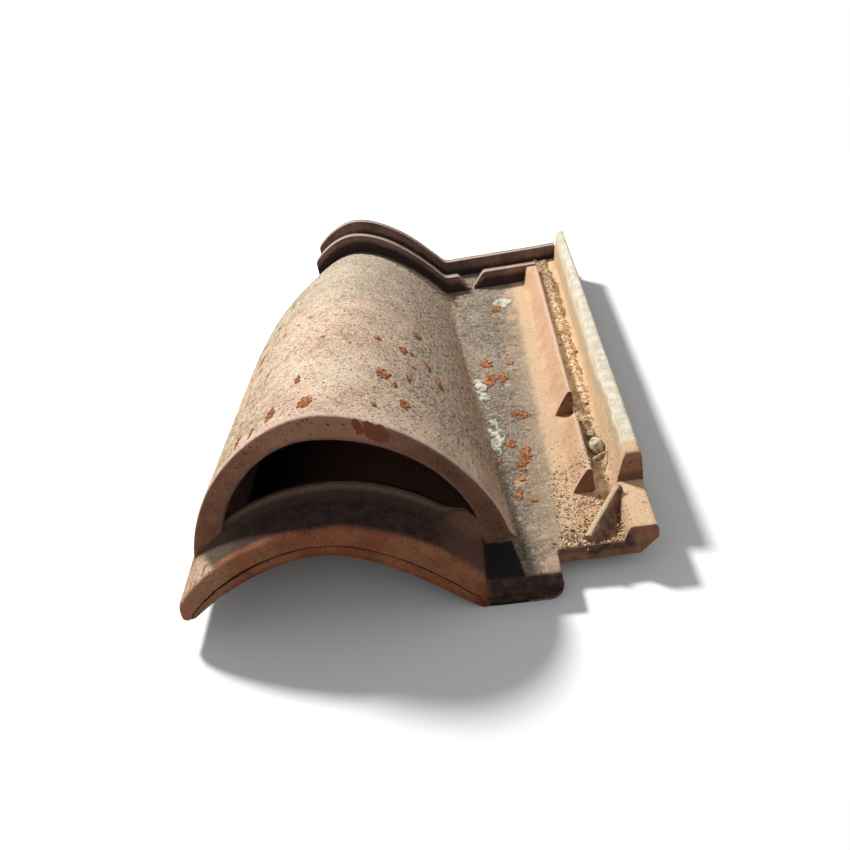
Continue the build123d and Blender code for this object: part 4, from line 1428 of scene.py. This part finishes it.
class RoofTileSettings(bpy.types.PropertyGroup):
    clay: colour_setting("Clay", "Colour of the hood's weathered clay", Tones.tan)
    growth: colour_setting("Grey Growth", "Colour of the growth on the flat pan", Tones.grey)
    crust: colour_setting("Pale Crust", "Colour of the crust on the outer rib", Tones.cream)
    orange_thick: height_setting("Orange Lichen", "How far the orange lichen stands up", 0.0007, 0.003)
    pale_thick: height_setting("Pale Lichen", "How far the pale lichen stands up", 0.0014, 0.004)
    crumb_count: bpy.props.IntProperty(
        name="Crumbs", description="Number of loose crumbs in the side lock", default=4400, min=0, max=6000)
    floor: colour_setting("Floor", "Colour of the stage's floor", (0.95, 0.95, 0.95))
    key_power: bpy.props.FloatProperty(
        name="Key Lamp", description="Power of the lamp behind the tile's left", default=60, min=0, max=500,
        unit="POWER")
    sky: bpy.props.FloatProperty(
        name="Even Light", description="Strength of the light from all round", default=0.32, min=0, max=2,
        subtype="FACTOR")


class ROOFTILE_OT_clay(bpy.types.Operator):
    """Build the fired clay body: hood, roll, pan, lock and ribs"""
    bl_idname = "roof_tile.clay"
    bl_label = "Clay Body"

    def execute(self, context):
        settings, tone = context.scene.roof_tile, Tones()
        chosen = (settings.clay, settings.growth, settings.crust)
        tone.tan, tone.grey, tone.cream = [tuple(colour) for colour in chosen]
        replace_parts(put(clay_body(), "roof_tile_clay", clay_material(tone)), NODE)
        return {"FINISHED"}


class ROOFTILE_OT_lichen(bpy.types.Operator):
    """Grow the orange and the pale lichen on the hood and the pan"""
    bl_idname = "roof_tile.lichen"
    bl_label = "Lichen"

    def execute(self, context):
        settings = context.scene.roof_tile
        put(orange_lichen(settings.orange_thick * 1000), "orange_lichen",
            growth_material("orange_lichen", (0.16, 0.07, 0.035), (0.36, 0.125, 0.05), (0.60, 0.24, 0.09),
                            1.3))
        put(pale_lichen(settings.pale_thick * 1000), "pale_lichen",
            growth_material("pale_lichen", (0.13, 0.11, 0.08), (0.46, 0.44, 0.33), (0.68, 0.67, 0.54),
                            1.5))
        return {"FINISHED"}


class ROOFTILE_OT_dirt(bpy.types.Operator):
    """Lay the dirt that has gathered in the side lock, with its crumbs, pebble and twig"""
    bl_idname = "roof_tile.dirt"
    bl_label = "Lock Dirt"

    def execute(self, context):
        dirt = dirt_material()
        put(dirt_bed(), "lock_dirt", dirt)
        loose = [scattered_crumbs(context.scene.roof_tile.crumb_count), moss_crumbs()]
        put(triangles(loose, "loose_crumbs"), "loose_crumbs", dirt)
        stone = [(*pebble((244.2, 102.0, 6.2), (4.6, 6.8, 4.4), 3), 1.0),
                 (*twig((238.6, 86.4, 6.6), (249.6, 91.6, 8.6), 0.95, 4), 1.0),
                 (*pebble((243.0, 116.5, 4.6), (3.0, 3.4, 2.4), 8), 1.0)]
        put(triangles(stone, "pebble_and_twig"), "pebble_and_twig", pebble_material())
        return {"FINISHED"}


class ROOFTILE_OT_stage(bpy.types.Operator):
    """Set the pale floor, the soft lamps and the camera"""
    bl_idname = "roof_tile.stage"
    bl_label = "Stage"

    def execute(self, context):
        settings = context.scene.roof_tile
        ground = bpy.data.meshes.new("floor")
        corners = np.array([[-1, -1, 0], [1, -1, 0], [1, 1, 0], [-1, 1, 0]]) * FLOOR_REACH
        fill(ground, corners, np.array([[0, 1, 2, 3]]))
        floor = add_object("floor", ground)
        ground.materials.append(floor_material(settings.floor))
        aimed("key", "AREA", (-0.88, 1.15, 1.50), settings.key_power, 0.30)
        aimed("fill", "AREA", (0.5, -1.6, 1.0), settings.key_power * 0.06, 1.4)
        backdrop(settings.sky)
        context.scene.camera = photo_camera()
        context.scene.view_settings.view_transform = "Standard"
        return {"FINISHED"}


class ROOFTILE_PT_panel(bpy.types.Panel):
    """Roof tile tools"""
    bl_idname = "ROOFTILE_PT_panel"
    bl_label = "Roof Tile"
    bl_space_type = "VIEW_3D"
    bl_region_type = "UI"
    bl_category = "Roof Tile"

    def draw(self, context):
        for name in RoofTileSettings.__annotations__:
            self.layout.prop(context.scene.roof_tile, name)
        for tool in TOOLS:
            self.layout.operator(tool.bl_idname)


TOOLS = (ROOFTILE_OT_clay, ROOFTILE_OT_lichen, ROOFTILE_OT_dirt, ROOFTILE_OT_stage)
CLASSES = (RoofTileSettings, *TOOLS, ROOFTILE_PT_panel)


def register():
    for item in CLASSES:
        bpy.utils.register_class(item)
    bpy.types.Scene.roof_tile = bpy.props.PointerProperty(type=RoofTileSettings)


def unregister():
    del bpy.types.Scene.roof_tile
    for item in reversed(CLASSES):
        bpy.utils.unregister_class(item)


def main():
    register()
    for tool in TOOLS:
        group, name = tool.bl_idname.split(".")
        getattr(getattr(bpy.ops, group), name)()


if __name__ == "__main__":
    main()
